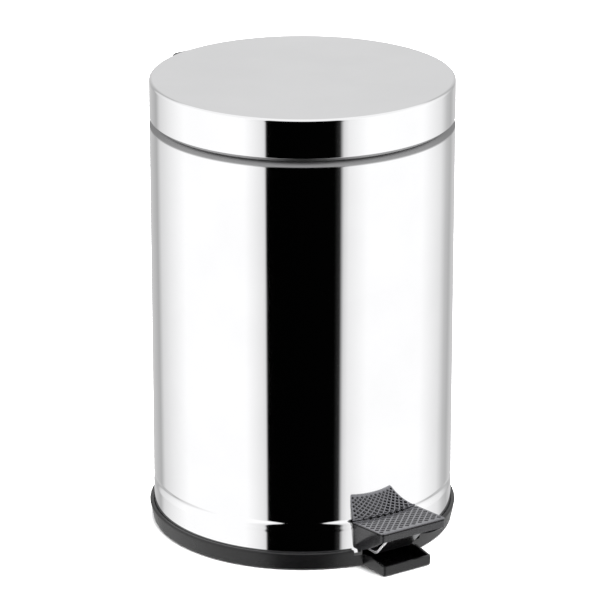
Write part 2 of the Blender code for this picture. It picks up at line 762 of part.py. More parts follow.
def hinge_pin():
    outer = KNUCKLE_HALF + 1 + EAR_T
    tip = outer + GAP + CLIP_T + 1
    pin = rod((-tip, HINGE_Y, HINGE_Z), (tip, HINGE_Y, HINGE_Z), HINGE_PIN_R)
    piece("hinge_pin", pin, "pressed_steel", ROOT)
    for side, name in ((-1, "left"), (1, "right")):
        start = (side * (outer + GAP), HINGE_Y, HINGE_Z)
        end = (side * (outer + GAP + CLIP_T), HINGE_Y, HINGE_Z)
        bore = HINGE_PIN_R + GAP
        washer(f"hinge_clip_{name}", bore, bore + 1.5, start, end, "pressed_steel", ROOT)


def lid_rivet_z():
    return SKIRT_Z + 0.4 * LID_SKIRT


def cover_screw_line(side, start, end):
    """Two points on a cover screw's line, by their distance from the bin's axis."""
    a = radians(90 + side * COVER_SCREW_AZIMUTH)
    z = lid_rivet_z()
    return (start * cos(a), start * sin(a), z), (end * cos(a), end * sin(a), z)


def lid_shell():
    edge = arc(BODY_R - LID_EDGE_R, HEIGHT - LID_EDGE_R, LID_EDGE_R, 90, 0, 4)
    inside = arc(BODY_R - LID_EDGE_R, HEIGHT - LID_EDGE_R, LID_EDGE_R - WALL, 0, 90, 3)
    points = [
        (0, HEIGHT),
        *edge,
        (BODY_R, SKIRT_Z),
        (BODY_IN_R - LID_HEM, SKIRT_Z),
        (BODY_IN_R - LID_HEM, SKIRT_Z + LID_HEM_HEIGHT),
        (BODY_IN_R, SKIRT_Z + LID_HEM_HEIGHT + LID_HEM),
        *inside,
        (0, HEIGHT - WALL),
    ]
    obj = turned("lid_shell", points, "polished_steel", LID_AXIS)
    z = lid_rivet_z()
    rivets = (-LID_RIVET_X, LID_RIVET_X)
    holes = [rod((x, BODY_IN_R - 5, z), (x, BODY_R + 5, z), RIVET_R + GAP) for x in rivets]
    screws = [cover_screw_line(side, BODY_IN_R - 5, BODY_R + 3) for side in (-1, 1)]
    holes += [rod(*line, RIVET_R + GAP) for line in screws]
    cut(obj, joined(*holes), "holes")


def lid_bracket():
    """The plate on the skirt, the knuckle round the pin and the slotted crank, in one pressing."""
    near = BODY_R + GAP
    obj = piece(
        "lid_bracket",
        rod((-KNUCKLE_HALF, HINGE_Y, HINGE_Z), (KNUCKLE_HALF, HINGE_Y, HINGE_Z), EAR_R),
        "pressed_steel",
        LID_AXIS,
    )
    leaf = box((-KNUCKLE_HALF, near, SKIRT_Z + 2), (KNUCKLE_HALF, near + BRACKET_T, COVER_TOP - 4))
    web_half = KNUCKLE_HALF - 0.5
    web = box((-web_half, near + 0.5, HINGE_Z - 1), (web_half, HINGE_Y - 0.4, HINGE_Z + EAR_R - 0.6))
    join(obj, leaf, "leaf")
    join(obj, web, "web")
    down = radians(LID_OPEN / 2)
    reach_in, reach_out = ROD_ARM - 0.3, ROD_ARM / cos(down) + 0.3
    first, second = [
        (HINGE_Y - reach * cos(down), HINGE_Z - reach * sin(down)) for reach in (reach_in, reach_out)
    ]
    head = capsule(first, second, CRANK_SLOT / 2 + CRANK_RIM)
    slot = capsule(first, second, CRANK_SLOT / 2)
    join(obj, plate(head, CRANK_T), "crank_head")
    arm = strip_outline(
        [(HINGE_Y - 1.7, HINGE_Z - 2.6), (BODY_R + 1.6, SKIRT_Z - 3.6), (NECK_R, SKIRT_Z - 5)], 4.0
    )
    join(obj, plate(arm, CRANK_T - 0.4), "crank_arm")
    cut(obj, plate(slot, 4 * CRANK_T), "crank_slot")
    wide = KNUCKLE_HALF + 2
    cut(obj, rod((-wide, HINGE_Y, HINGE_Z), (wide, HINGE_Y, HINGE_Z), HINGE_PIN_R + GAP), "pin_bore")
    z = lid_rivet_z()
    rivets = (-LID_RIVET_X, LID_RIVET_X)
    holes = [rod((x, near - 5, z), (x, near + 5, z), RIVET_R + GAP) for x in rivets]
    cut(obj, joined(*holes), "rivet_holes")
    inside = (BODY_IN_R**2 - (LID_RIVET_X + RIVET_HEAD_R) ** 2) ** 0.5 - FACET_GAP
    for number, x in enumerate(rivets, 1):
        headed_pin(
            f"lid_rivet_{number}", (x, inside, z), (x, near + BRACKET_T + 1.2, z),
            RIVET_R, RIVET_HEAD_R, RIVET_HEAD, "pressed_steel", LID_AXIS,
        )


def lid_hinge_cover():
    obj = piece(
        "lid_hinge_cover",
        box((-COVER_HALF, BODY_R - 25, COVER_BOTTOM), (COVER_HALF, COVER_REAR, COVER_TOP)),
        "black_plastic",
        LID_AXIS,
    )
    bevel = obj.modifiers.new("round", "BEVEL")
    bevel.width = 2.5 * MM
    bevel.segments = 2
    cut(obj, rod((0, 0, 0), (0, 0, 2 * HEIGHT), BODY_R + GAP, 96), "lid_way")
    pocket = box(
        (-COVER_POCKET_HALF, 0, 0), (COVER_POCKET_HALF, COVER_REAR - COVER_WALL, COVER_TOP - COVER_WALL)
    )
    cut(obj, pocket, "pocket")
    notch = box((-COVER_POCKET_HALF, BODY_R, 0), (COVER_POCKET_HALF, COVER_REAR + 5, HINGE_Z + 3))
    cut(obj, notch, "notch")
    lines = [cover_screw_line(side, BODY_R - 5, BODY_R + 7 + GAP) for side in (-1, 1)]
    cut(obj, joined(*(rod(*line, RIVET_R + GAP, 12) for line in lines)), "screw_bores")
    for side, name in ((-1, "right"), (1, "left")):
        line = cover_screw_line(side, BODY_IN_R - 2 * GAP, BODY_R + 7)
        headed_pin(
            f"cover_screw_{name}", *line, RIVET_R, RIVET_HEAD_R, RIVET_HEAD, "pressed_steel", LID_AXIS
        )


def lid_buffers():
    radius, place = 2.8, (NECK_R + NECK_IN_R) / 2 + 0.8
    for number, azimuth in enumerate((-90, 30, 150), 1):
        x, y = place * cos(radians(azimuth)), place * sin(radians(azimuth))
        start, end = (x, y, NECK_TOP + GAP), (x, y, HEIGHT - WALL - GAP)
        mesh = cone(start, end, radius, radius - 0.6)
        piece(f"lid_buffer_{number}", mesh, "black_rubber", LID_AXIS)


def inner_bucket():
    top, low = BUCKET_RIM_Z, BUCKET_Z
    slope = (BUCKET_TOP_R - BUCKET_BOTTOM_R) / (top - low)
    obj = piece(
        "inner_bucket",
        cone((0, 0, low), (0, 0, top), BUCKET_BOTTOM_R, BUCKET_TOP_R, BUCKET_STEPS),
        "bucket_plastic",
        BUCKET_AXIS,
    )
    far = 2 * BODY_R
    cut(obj, box((-far, BUCKET_FLAT_Y, 0), (far, far, HEIGHT)), "flat")
    rim = join(
        obj,
        rod((0, 0, top - BUCKET_RIM_T), (0, 0, top), BUCKET_TOP_R + BUCKET_RIM_WIDE, BUCKET_STEPS),
        "rim",
    )
    cut(rim, box((-far, BUCKET_FLAT_Y + BUCKET_RIM_WIDE / 2, 0), (far, far, HEIGHT)), "flat")
    floor = low + BUCKET_FOOT + BUCKET_FLOOR
    wall = BUCKET_WALL
    cavity = cut(
        obj,
        cone(
            (0, 0, floor),
            (0, 0, top + 5),
            BUCKET_BOTTOM_R - wall + slope * (floor - low),
            BUCKET_TOP_R - wall + slope * 5,
            BUCKET_STEPS,
        ),
        "cavity",
    )
    cut(cavity, box((-far, BUCKET_FLAT_Y - wall, 0), (far, far, 2 * HEIGHT)), "flat")
    cut(obj, rod((0, 0, 0), (0, 0, low + BUCKET_FOOT), BUCKET_BOTTOM_R - 8, BUCKET_STEPS), "foot_recess")
    cut(obj, rod((-far, 0, BAIL_Z), (far, 0, BAIL_Z), BAIL_R + BAIL_LOOSE), "bail_bores")


def bucket_bail():
    grip_side = asin((GRIP_HALF + 5) / BAIL_ARC_R)
    count = 7
    turns = [-pi + (pi / 2 - grip_side) * i / count for i in range(count + 1)]
    left = [(BAIL_ARC_R * cos(a), BAIL_ARC_R * sin(a), BAIL_Z) for a in turns]
    right = [(-x, y, z) for x, y, z in reversed(left)]
    tip = BUCKET_TOP_R + BUCKET_RIM_WIDE - 1.5
    points = [(-tip, 0, BAIL_Z), *left, *right, (tip, 0, BAIL_Z)]
    piece("bucket_bail", wire(points, BAIL_R), "pressed_steel", BAIL_AXIS)
    y = -BAIL_ARC_R * cos(grip_side)
    sleeve = rod((-GRIP_HALF, y, BAIL_Z), (GRIP_HALF, y, BAIL_Z), GRIP_R)
    obj = piece("bail_grip", sleeve, "black_plastic", BAIL_AXIS)
    bevel = obj.modifiers.new("round", "BEVEL")
    bevel.width = 1.2 * MM
    bevel.segments = 2
    bevel.angle_limit = radians(60)
    bevel.limit_method = "ANGLE"
    wide = GRIP_HALF + 5
    cut(obj, rod((-wide, y, BAIL_Z), (wide, y, BAIL_Z), BAIL_R + BAIL_LOOSE), "bore")


body_shell()
bottom_plate()
base_pan()
base_fixings()
hinge_bracket()
hinge_pin()
pedal_axle()
rod_guide()
lid_shell()
lid_bracket()
lid_hinge_cover()
lid_buffers()
pedal()
push_rod()
inner_bucket()
bucket_bail()
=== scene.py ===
import json
from math import asin, atan2, cos, pi, radians, sin, sqrt, tan

import bmesh
import bpy
from mathutils import Matrix, Vector


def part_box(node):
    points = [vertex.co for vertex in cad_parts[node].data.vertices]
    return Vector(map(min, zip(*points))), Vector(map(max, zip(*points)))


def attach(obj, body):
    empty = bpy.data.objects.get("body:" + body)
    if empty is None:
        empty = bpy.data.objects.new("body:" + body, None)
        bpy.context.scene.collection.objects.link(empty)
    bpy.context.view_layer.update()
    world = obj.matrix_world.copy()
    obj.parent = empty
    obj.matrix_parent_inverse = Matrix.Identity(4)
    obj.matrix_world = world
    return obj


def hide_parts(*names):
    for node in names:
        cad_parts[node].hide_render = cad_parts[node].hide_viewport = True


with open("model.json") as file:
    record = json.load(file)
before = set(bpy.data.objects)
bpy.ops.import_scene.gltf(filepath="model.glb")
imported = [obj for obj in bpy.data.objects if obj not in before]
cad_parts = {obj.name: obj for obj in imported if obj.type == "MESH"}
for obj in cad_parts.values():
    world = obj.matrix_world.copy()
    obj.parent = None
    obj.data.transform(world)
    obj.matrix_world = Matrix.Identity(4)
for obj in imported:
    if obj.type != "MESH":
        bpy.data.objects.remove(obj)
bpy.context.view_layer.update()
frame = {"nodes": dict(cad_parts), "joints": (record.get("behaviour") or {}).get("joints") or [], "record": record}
print("frame loaded:", len(frame["nodes"]), "nodes")

# Lengths below are millimetres, counted from the bin's own axis at floor level: -y is the pedal, +y the hinge
mm = 0.001
shellLow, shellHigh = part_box("body_shell")
axisY = (shellLow.y + shellHigh.y) / 2
bodyRadius = (shellHigh.x - shellLow.x) / 2 / mm
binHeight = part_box("lid_shell")[1].z / mm
gap = 0.3


def nodeBox(node):
    low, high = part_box(node)
    shift = Vector((0, axisY, 0))
    return (low - shift) / mm, (high - shift) / mm


def jointAt(name):
    joint = next(j for j in frame["joints"] if j["name"] == name)
    return (Vector(joint["pos_m"]) - Vector((0, axisY, 0))) / mm


hingeAt = jointAt("lid_hinge")
axleAt = jointAt("pedal_hinge")


skirtZ = nodeBox("lid_shell")[0].z
neckTop, sunkZ = nodeBox("body_shell")[1].z, nodeBox("body_shell")[0].z
neck = {"radius": 141.5, "bead": 1.7, "shoulderZ": skirtZ - 8.3}
neck["baseZ"] = neck["shoulderZ"] + bodyRadius - neck["radius"]
trayHalf = 27.5
ringTop = 18.0


# ---- small helpers ----

def linear(hexCode):
    parts = [int(hexCode[i:i + 2], 16) / 255 for i in (1, 3, 5)]
    return (*(c / 12.92 if c <= 0.04045 else ((c + 0.055) / 1.055) ** 2.4 for c in parts), 1.0)


def addNode(tree, kind, settings=None, links=None):
    node = tree.nodes.new(kind)
    for key, value in (settings or {}).items():
        setattr(node, key, value)
    for key, value in (links or {}).items():
        socket = node.inputs[key]
        if isinstance(value, bpy.types.NodeSocket):
            tree.links.new(value, socket)
        else:
            socket.default_value = value
    return node


def ramp(tree, factor, stops):
    node = addNode(tree, "ShaderNodeValToRGB", links={"Fac": factor})
    band = node.color_ramp
    band.interpolation = "LINEAR"
    while len(band.elements) < len(stops):
        band.elements.new(0.5)
    for element, (place, value) in zip(band.elements, stops):
        element.position = place
        element.color = linear(value) if isinstance(value, str) else (value, value, value, 1)
    return node.outputs["Color"]


def cleaned(mesh, merge=1e-6):
    shape = bmesh.new()
    shape.from_mesh(mesh)
    bmesh.ops.remove_doubles(shape, verts=shape.verts, dist=merge)
    bmesh.ops.dissolve_degenerate(shape, edges=shape.edges, dist=1e-7)
    bmesh.ops.recalc_face_normals(shape, faces=shape.faces)
    if shape.calc_volume(signed=True) < 0:
        bmesh.ops.reverse_faces(shape, faces=shape.faces)
    shape.to_mesh(mesh)
    shape.free()
    return mesh


def newObject(name, mesh):
    obj = bpy.data.objects.new(name, mesh)
    bpy.context.scene.collection.objects.link(obj)
    return obj


def meshOf(shape, name):
    mesh = bpy.data.meshes.new(name)
    shape.to_mesh(mesh)
    shape.free()
    return mesh


def baked(obj):
    # the evaluated shape becomes a plain mesh, and what made it goes
    graph = bpy.context.evaluated_depsgraph_get()
    mesh = bpy.data.meshes.new_from_object(obj.evaluated_get(graph), depsgraph=graph)
    if obj.type != "MESH":
        place, name = obj.matrix_world.copy(), obj.name
        bpy.data.objects.remove(obj)
        obj = newObject(name, mesh)
        obj.matrix_world = place
        return obj
    obj.modifiers.clear()
    obj.data = mesh
    return obj


def rounded(obj, width, angle=40, segments=3):
    modifier = obj.modifiers.new("round", "BEVEL")
    modifier.width, modifier.segments = width * mm, segments
    modifier.limit_method, modifier.angle_limit = "ANGLE", radians(angle)
    return baked(obj)


def carve(obj, tool, operation="DIFFERENCE"):
    modifier = obj.modifiers.new("carve", "BOOLEAN")
    modifier.operation = operation
    modifier.solver = "EXACT"
    modifier.object = tool
    baked(obj)
    bpy.data.objects.remove(tool)
    return obj


def softened(corners, closed=True, arcSteps=6, support=0.35):
    # rounds each corner (r, z, radius) with an arc, and holds the straights flat with a point just past it
    points = []
    count = len(corners)
    for i, corner in enumerate(corners):
        here, radius = Vector(corner[:2]), corner[2] if len(corner) > 2 else 0
        if not radius or (not closed and i in (0, count - 1)):
            points.append(tuple(here))
            continue
        before = (Vector(corners[i - 1][:2]) - here)
        after = (Vector(corners[(i + 1) % count][:2]) - here)
        half = before.angle(after) / 2
        back = min(radius / tan(half), before.length * 0.45, after.length * 0.45)
        radius = back * tan(half)
        middle = here + (before.normalized() + after.normalized()).normalized() * radius / sin(half)
        start, end = here + before.normalized() * back, here + after.normalized() * back
        a = atan2(*(start - middle).yx)
        turn = (atan2(*(end - middle).yx) - a + pi) % (2 * pi) - pi
        if before.length > 4 * back + 2 * support:
            points.append(tuple(start + before.normalized() * support))
        for k in range(arcSteps + 1):
            b = a + turn * k / arcSteps
            points.append((middle.x + radius * cos(b), middle.y + radius * sin(b)))
        if after.length > 4 * back + 2 * support:
            points.append(tuple(end + after.normalized() * support))
    return points


# ---- Geometry Nodes: a section turned round the bin's axis ----

def newTree(name, inputs):
    # a node group with geometry in and out, the named inputs, and a material
    tree = bpy.data.node_groups.new(name, "GeometryNodeTree")
    for label, kind in {"Geometry": "Geometry", **inputs, "Material": "Material"}.items():
        tree.interface.new_socket(label, in_out="INPUT", socket_type="NodeSocket" + kind)
    tree.interface.new_socket("Geometry", in_out="OUTPUT", socket_type="NodeSocketGeometry")
    return tree, addNode(tree, "NodeGroupInput").outputs


def endTree(tree, given, geometry):
    real = addNode(tree, "GeometryNodeRealizeInstances", links={"Geometry": geometry})
    done = addNode(tree, "GeometryNodeSetMaterial", links={
        "Geometry": real.outputs["Geometry"], "Material": given["Material"]})
    addNode(tree, "NodeGroupOutput", links={"Geometry": done.outputs["Geometry"]})
    return tree


def turningTree():
    tree, given = newTree("turnedSection", {"Steps": "Int", "Turning Radius": "Float"})
    circle = addNode(tree, "GeometryNodeCurvePrimitiveCircle", links={
        "Resolution": given["Steps"], "Radius": given["Turning Radius"]})
    section = addNode(tree, "GeometryNodeMeshToCurve", links={"Mesh": given["Geometry"]})
    wall = addNode(tree, "GeometryNodeCurveToMesh", links={
        "Curve": circle.outputs["Curve"], "Profile Curve": section.outputs["Curve"]})
    return endTree(tree, given, wall.outputs["Mesh"])


def useTree(obj, tree, values):
    modifier = obj.modifiers.new(tree.name, "NODES")
    modifier.node_group = tree
    names = {item.name: item.identifier for item in tree.interface.items_tree
             if item.item_type == "SOCKET" and item.in_out == "INPUT"}
    for label, value in values.items():
        modifier[names[label]] = value
    return baked(obj)


turnTree = turningTree()


def turned(name, section, material, steps=256):
    # section: (r, z) down the outer side, closed unless it starts on the axis
    closed = section[0][0] > 0
    mesh = bpy.data.meshes.new(name)
    edges = [(i, i + 1) for i in range(len(section) - 1)] + ([(len(section) - 1, 0)] if closed else [])
    mesh.from_pydata([((r - bodyRadius) * mm, -z * mm, 0) for r, z in section], edges, [])
    obj = newObject(name, mesh)
    useTree(obj, turnTree, {"Steps": steps, "Turning Radius": bodyRadius * mm, "Material": material})
    cleaned(obj.data)
    return obj


def block(low, high, soft=0.0, segments=2):
    shape = bmesh.new()
    size, middle = Vector(high) - Vector(low), (Vector(high) + Vector(low)) / 2
    bmesh.ops.create_cube(shape, size=1.0, matrix=Matrix.Translation(middle * mm)
                          @ Matrix.Diagonal((*(size * mm), 1)))
    if soft:
        bmesh.ops.bevel(shape, geom=shape.edges[:], offset=soft * mm, segments=segments,
                        affect="EDGES", profile=0.5)
    return newObject("block", meshOf(shape, "block"))


def prism(outline, low, high, along="X", soft=0.0, segments=2):
    # an outline made thick between two places on an axis: (y, z) along X, (x, y) along Z
    shape = bmesh.new()
    corners = []
    for end in (low, high):
        for u, v in outline:
            place = (end, u, v) if along == "X" else (u, v, end)
            corners.append(shape.verts.new(Vector(place) * mm))
    count = len(outline)
    shape.faces.new(corners[:count])
    shape.faces.new(corners[count:][::-1])
    for i in range(count):
        j = (i + 1) % count
        shape.faces.new((corners[j], corners[i], corners[count + i], corners[count + j]))
    bmesh.ops.recalc_face_normals(shape, faces=shape.faces)
    if soft:
        sharp = [e for e in shape.edges if e.calc_face_angle(0) > radians(30)]
        bmesh.ops.bevel(shape, geom=sharp, offset=soft * mm, segments=segments,
                        affect="EDGES", profile=0.5, clamp_overlap=True)
    return newObject("prism", cleaned(meshOf(shape, "prism")))


def frontCorners(half, rear, reach, corner):
    # a plan whose two front corners are rounded
    return softened([(half, -rear), (-half, -rear), (-half, -reach, corner), (half, -reach, corner)],
                    arcSteps=6, support=0.1)


def bar(start, end, radius, radiusEnd=None, sides=32, soft=0.0):
    start, end = Vector(start), Vector(end)
    turn = (end - start).to_track_quat("Z", "Y").to_matrix().to_4x4()
    shape = bmesh.new()
    bmesh.ops.create_cone(
        shape, cap_ends=True, segments=sides, radius1=radius * mm,
        radius2=(radius if radiusEnd is None else radiusEnd) * mm, depth=(end - start).length * mm,
        matrix=Matrix.Translation((start + end) / 2 * mm) @ turn)
    if soft:
        rims = [e for e in shape.edges if e.calc_face_angle(0) > radians(50)]
        bmesh.ops.bevel(shape, geom=rims, offset=soft * mm, segments=3, affect="EDGES", profile=0.5)
    return newObject("bar", meshOf(shape, "bar"))


def wire(name, points, radius, sides=10):
    curve = bpy.data.curves.new(name, "CURVE")
    curve.dimensions = "3D"
    curve.bevel_depth = radius * mm
    curve.bevel_resolution = (sides - 4) // 2
    curve.use_fill_caps = True
    spline = curve.splines.new("POLY")
    spline.points.add(len(points) - 1)
    for point, place in zip(spline.points, points):
        point.co = (*(Vector(place) * mm), 1)
    obj = baked(newObject(name, curve))
    cleaned(obj.data)
    return obj


def roundedPath(corners, radius, steps=8):
    path = [Vector(corners[0])]
    for a, b, c in zip(corners, corners[1:], corners[2:]):
        a, b, c = Vector(a), Vector(b), Vector(c)
        back = min(radius, (a - b).length * 0.48, (c - b).length * 0.48)
        p, q = b + (a - b).normalized() * back, b + (c - b).normalized() * back
        for k in range(steps + 1):
            t = k / steps
            path.append(p * (1 - t) ** 2 + b * 2 * t * (1 - t) + q * t ** 2)
    return path + [Vector(corners[-1])]


def settle(obj, name, body, material, replaced=(), sharp=35):
    # puts a finished shape in its place on the bin, shades it and hands it to its body
    obj.name = obj.data.name = name
    obj.data.transform(Matrix.Translation((0, axisY, 0)) @ obj.matrix_world)
    obj.matrix_world = Matrix.Identity(4)
    obj.data.materials.clear()
    obj.data.materials.append(material)
    for face in obj.data.polygons:
        face.material_index = 0
    obj.data.shade_smooth()
    obj.data.set_sharp_from_angle(angle=radians(sharp))
    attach(obj, body)
    if replaced:
        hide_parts(*replaced)
    return obj


# ---- materials ----

def newMaterial(name, look, roughness, metallic=0.0, **fixed):
    # look(tree, place) gives the colour, what steers the roughness between its two ends, and the bumps
    material = bpy.data.materials.new(name)
    material.use_nodes = True
    tree = material.node_tree
    shader = tree.nodes["Principled BSDF"]
    shader.inputs["Metallic"].default_value = metallic
    shader.inputs["Roughness"].default_value = roughness[0]
    for key, value in fixed.items():
        shader.inputs[key.replace("_", " ")].default_value = value
    place = addNode(tree, "ShaderNodeTexCoord").outputs["Object"]
    colour, rough, bumps = look(tree, place)
    tree.links.new(colour, shader.inputs["Base Color"])
    if rough is not None:
        span = addNode(tree, "ShaderNodeMapRange", {"clamp": False}, {
            "Value": rough, "To Min": roughness[0], "To Max": roughness[1]})
        tree.links.new(span.outputs["Result"], shader.inputs["Roughness"])
    normal = None
    for height, strength, distance in bumps:
        node = addNode(tree, "ShaderNodeBump", links={
            "Height": height, "Strength": strength, "Distance": distance * mm})
        if normal is not None:
            tree.links.new(normal, node.inputs["Normal"])
        normal = node.outputs["Normal"]
    if normal is not None:
        tree.links.new(normal, shader.inputs["Normal"])
    return material


def grain(tree, place, perMetre, detail=3.0, rough=0.5, stretch=(1, 1, 1)):
    spread = addNode(tree, "ShaderNodeMapping", links={"Vector": place, "Scale": stretch})
    noise = addNode(tree, "ShaderNodeTexNoise", links={
        "Vector": spread.outputs["Vector"], "Scale": perMetre, "Detail": detail, "Roughness": rough})
    return noise.outputs["Fac"]


def polishedLook(tree, place):
    # buffed sheet: clean reflections that waver over a hand's width, and the buffing wheel's faint haze
    haze = grain(tree, place, 14, 4)
    rolled = grain(tree, place, 5.5, 1, stretch=(1, 1, 0.35))
    buffed = grain(tree, place, 900, 2, stretch=(1, 1, 0.04))
    colour = ramp(tree, haze, [(0.3, "#F6F6F7"), (0.7, "#FAFAFB")])
    return colour, haze, [(rolled, 0.06, 1.2), (buffed, 0.012, 0.02)]


satinHaze = 11.0


def bodyLook(tree, place):
    # the wheel can't reach the stepped neck under the lid, which keeps the satin of the rolled sheet; the colour
    # there is also darkened to grey, a painted shade under the lid's skirt
    colour, haze, bumps = polishedLook(tree, place)
    height = addNode(tree, "ShaderNodeSeparateXYZ", links={"Vector": place}).outputs["Z"]
    satin = addNode(tree, "ShaderNodeMapRange", links={
        "Value": height, "From Min": (neck["shoulderZ"] - 1.2) * mm,
        "From Max": (neck["shoulderZ"] + 0.2) * mm, "To Max": satinHaze})
    reach = addNode(tree, "ShaderNodeMath", {"operation": "ADD"}, {0: haze, 1: satin.outputs["Result"]})
    # painted shade: the neck's colour is mixed towards a darker grey under the lid
    neckShadeFactor = addNode(tree, "ShaderNodeMath", {"operation": "DIVIDE"}, {
        0: satin.outputs["Result"], 1: satinHaze})
    neckPaintedShade = addNode(tree, "ShaderNodeMix", {"data_type": "RGBA"}, {
        "Factor": neckShadeFactor.outputs[0], "A": colour, "B": linear("#A3A3A4")})
    return neckPaintedShade.outputs["Result"], reach.outputs[0], bumps


def pressedLook(tree, place):
    # cold-rolled strip under bright zinc: fine lines along the roll and pale spangle
    lines = grain(tree, place, 60, 5, 0.65, stretch=(14, 1, 14))
    spangle = grain(tree, place, 180, 2)
    colour = ramp(tree, spangle, [(0.3, "#B4B5B7"), (0.7, "#D0D1D2")])
    return colour, lines, [(lines, 0.10, 0.05)]


def zincLook(tree, place):
    # small turned and headed parts with a bright zinc coat, a little cloudy
    cloud = grain(tree, place, 420, 3)
    return ramp(tree, cloud, [(0.3, "#B9BBBD"), (0.7, "#D9DADB")]), cloud, [(cloud, 0.08, 0.04)]


def wireLook(tree, place):
    # drawn wire: lines run along it
    lines = grain(tree, place, 700, 3, stretch=(1, 1, 0.06))
    return ramp(tree, lines, [(0.3, "#A9ABAD"), (0.7, "#C9CACC")]), lines, [(lines, 0.12, 0.04)]


def mouldedLook(pale, dark, cell=0.55):
    # spark-eroded mould texture: a leathery grain about half a millimetre across, and slight flow marks
    def look(tree, place):
        pits = addNode(tree, "ShaderNodeTexVoronoi", {"feature": "SMOOTH_F1"}, {
            "Vector": place, "Scale": 1000 / cell, "Smoothness": 0.6})
        flow = grain(tree, place, 22, 3)
        colour = ramp(tree, flow, [(0.3, dark), (0.7, pale)])
        return colour, flow, [(flow, 0.05, 0.8), (pits.outputs["Distance"], 0.22, 0.05)]
    return look


def rubberLook(tree, place):
    # dull rubber with a bloom of dust in places
    dust = grain(tree, place, 260, 5)
    return ramp(tree, dust, [(0.35, "#141414"), (0.8, "#26262A")]), dust, [(dust, 0.25, 0.08)]


polishedSteel = newMaterial("stainless_steel_304_mirror_polished", polishedLook, (0.035, 0.065), 1.0)
bodySteel = newMaterial("stainless_steel_304_polished_satin_neck", bodyLook, (0.035, 0.065), 1.0)
pressedSteel = newMaterial("cold_rolled_steel_zinc_plated", pressedLook, (0.26, 0.42), 1.0)
zincSteel = newMaterial("bright_zinc_plated_steel", zincLook, (0.24, 0.38), 1.0)
drawnWire = newMaterial("drawn_steel_wire", wireLook, (0.22, 0.36), 1.0)
blackPlastic = newMaterial(
    "moulded_black_polypropylene", mouldedLook("#101011", "#0B0B0C"), (0.22, 0.32), IOR=1.49)
bucketPlastic = newMaterial(
    "moulded_grey_polypropylene", mouldedLook("#3C3D40", "#2F3033", 0.8), (0.38, 0.5), IOR=1.49)
blackRubber = newMaterial("vulcanised_rubber", rubberLook, (0.7, 0.88), IOR=1.52)
print("materials made")


# ---- body ----

body = {
    "wall": 0.8,
    "shoulderBend": 2.2,
    "neckBend": 1.6,
    "beadHeight": 3.0,
    "grooveZ": 43.5,
    "grooveHeight": 12.0,
    "grooveDepth": 1.6,
    "grooveSteps": 36,
    "crankWay": 6.0,
}


def groove(t, wall=0.0):
    # t runs from 0 at the top of the rolled groove to 1 at its foot; the upper flank is the steeper one
    inset = body["grooveDepth"] * sin(pi * t ** 0.86) ** 2
    z = body["grooveZ"] + body["grooveHeight"] * (0.5 - t)
    return bodyRadius - wall - inset, z


def makeBody():
    b, wall = body, body["wall"]
    r, n, top = bodyRadius, neck["radius"], neckTop
    upper = softened([
        (n - wall, top, 0.7),
        (n + neck["bead"], top, 1.3),
        (n + neck["bead"], top - b["beadHeight"], 1.3),
        (n, top - b["beadHeight"], 0.3),
        (n, neck["baseZ"], b["neckBend"]),
        (r, neck["shoulderZ"], b["shoulderBend"]),
        (r, neck["shoulderZ"] - 12),
    ], closed=False, arcSteps=8)
    steps = [i / b["grooveSteps"] for i in range(b["grooveSteps"] + 1)]
    coarse = steps[::3]
    outer = upper + [groove(t) for t in steps] + [(r, sunkZ)]
    inner = [(r - wall, sunkZ)] + [groove(t, wall) for t in reversed(coarse)]
    inner += [(r - wall, neck["shoulderZ"] - 0.3), (n - wall, neck["baseZ"] - 0.3)]
    obj = turned("bodyShell", outer + inner, bodySteel, 288)
    way = b["crankWay"]
    carve(obj, block((-way, n - 12, neck["shoulderZ"] - 5), (way, r + 10, top + 5)))
    carve(obj, block((-trayHalf - 0.6, -r - 10, 0), (trayHalf + 0.6, 10 - r, ringTop - 0.5)))
    settle(obj, "bodyShell", "bin", bodySteel, ["body_shell"], 30)


lid = {"wall": 0.8, "hem": 0.5, "hemHeight": 3.0, "edge": 3.0}


def makeLid():
    wall, edge, hemIn, hemTop = lid["wall"], lid["edge"], lid["wall"] + lid["hem"], skirtZ + lid["hemHeight"]
    r, top = bodyRadius, binHeight
    section = softened([
        (0, top),
        (r, top, edge),
        (r, skirtZ, 0.4),
        (r - hemIn, skirtZ, 0.4),
        (r - hemIn, hemTop, 0.2),
        (r - wall, hemTop + 0.6, 0.2),
        (r - wall, top - wall, edge - wall),
        (0, top - wall),
    ], closed=False, arcSteps=10)
    obj = turned("lidShell", section, polishedSteel, 288)
    settle(obj, "lidShell", "lid", polishedSteel, ["lid_shell"], 30)


makeBody()
makeLid()
print("shells turned")


# ---- base ----

base = {
    "foot": 1.0,
    "floor": 2.5,
    "ringWall": 4.2,
    "ringTaper": 3.6,
    "lip": 2.0,
    "bossRadius": 5.0,
    "bossRing": 100.0,
    "trayReach": 180.0,
    "trayFront": 9.0,
    "trayWall": 2.5,
    "padRearZ": 19.8,
    "padHalf": 37.0,
    "ribCount": 24,
    "ribInner": 42.0,
    "ribLength": 46.0,
    "ribWidth": 3.0,
    "ribDepth": 0.7,
    "saddleX": 22.5,
    "saddleThick": 5.0,
    "saddleHalf": 7.0,
    "axleRadius": 3.0,
    "footRing": 133.0,
    "footRadius": 9.0,
}


def diagonals(radius):
    return [(radius * cos(a), radius * sin(a)) for a in (pi / 4, 3 * pi / 4, 5 * pi / 4, 7 * pi / 4)]


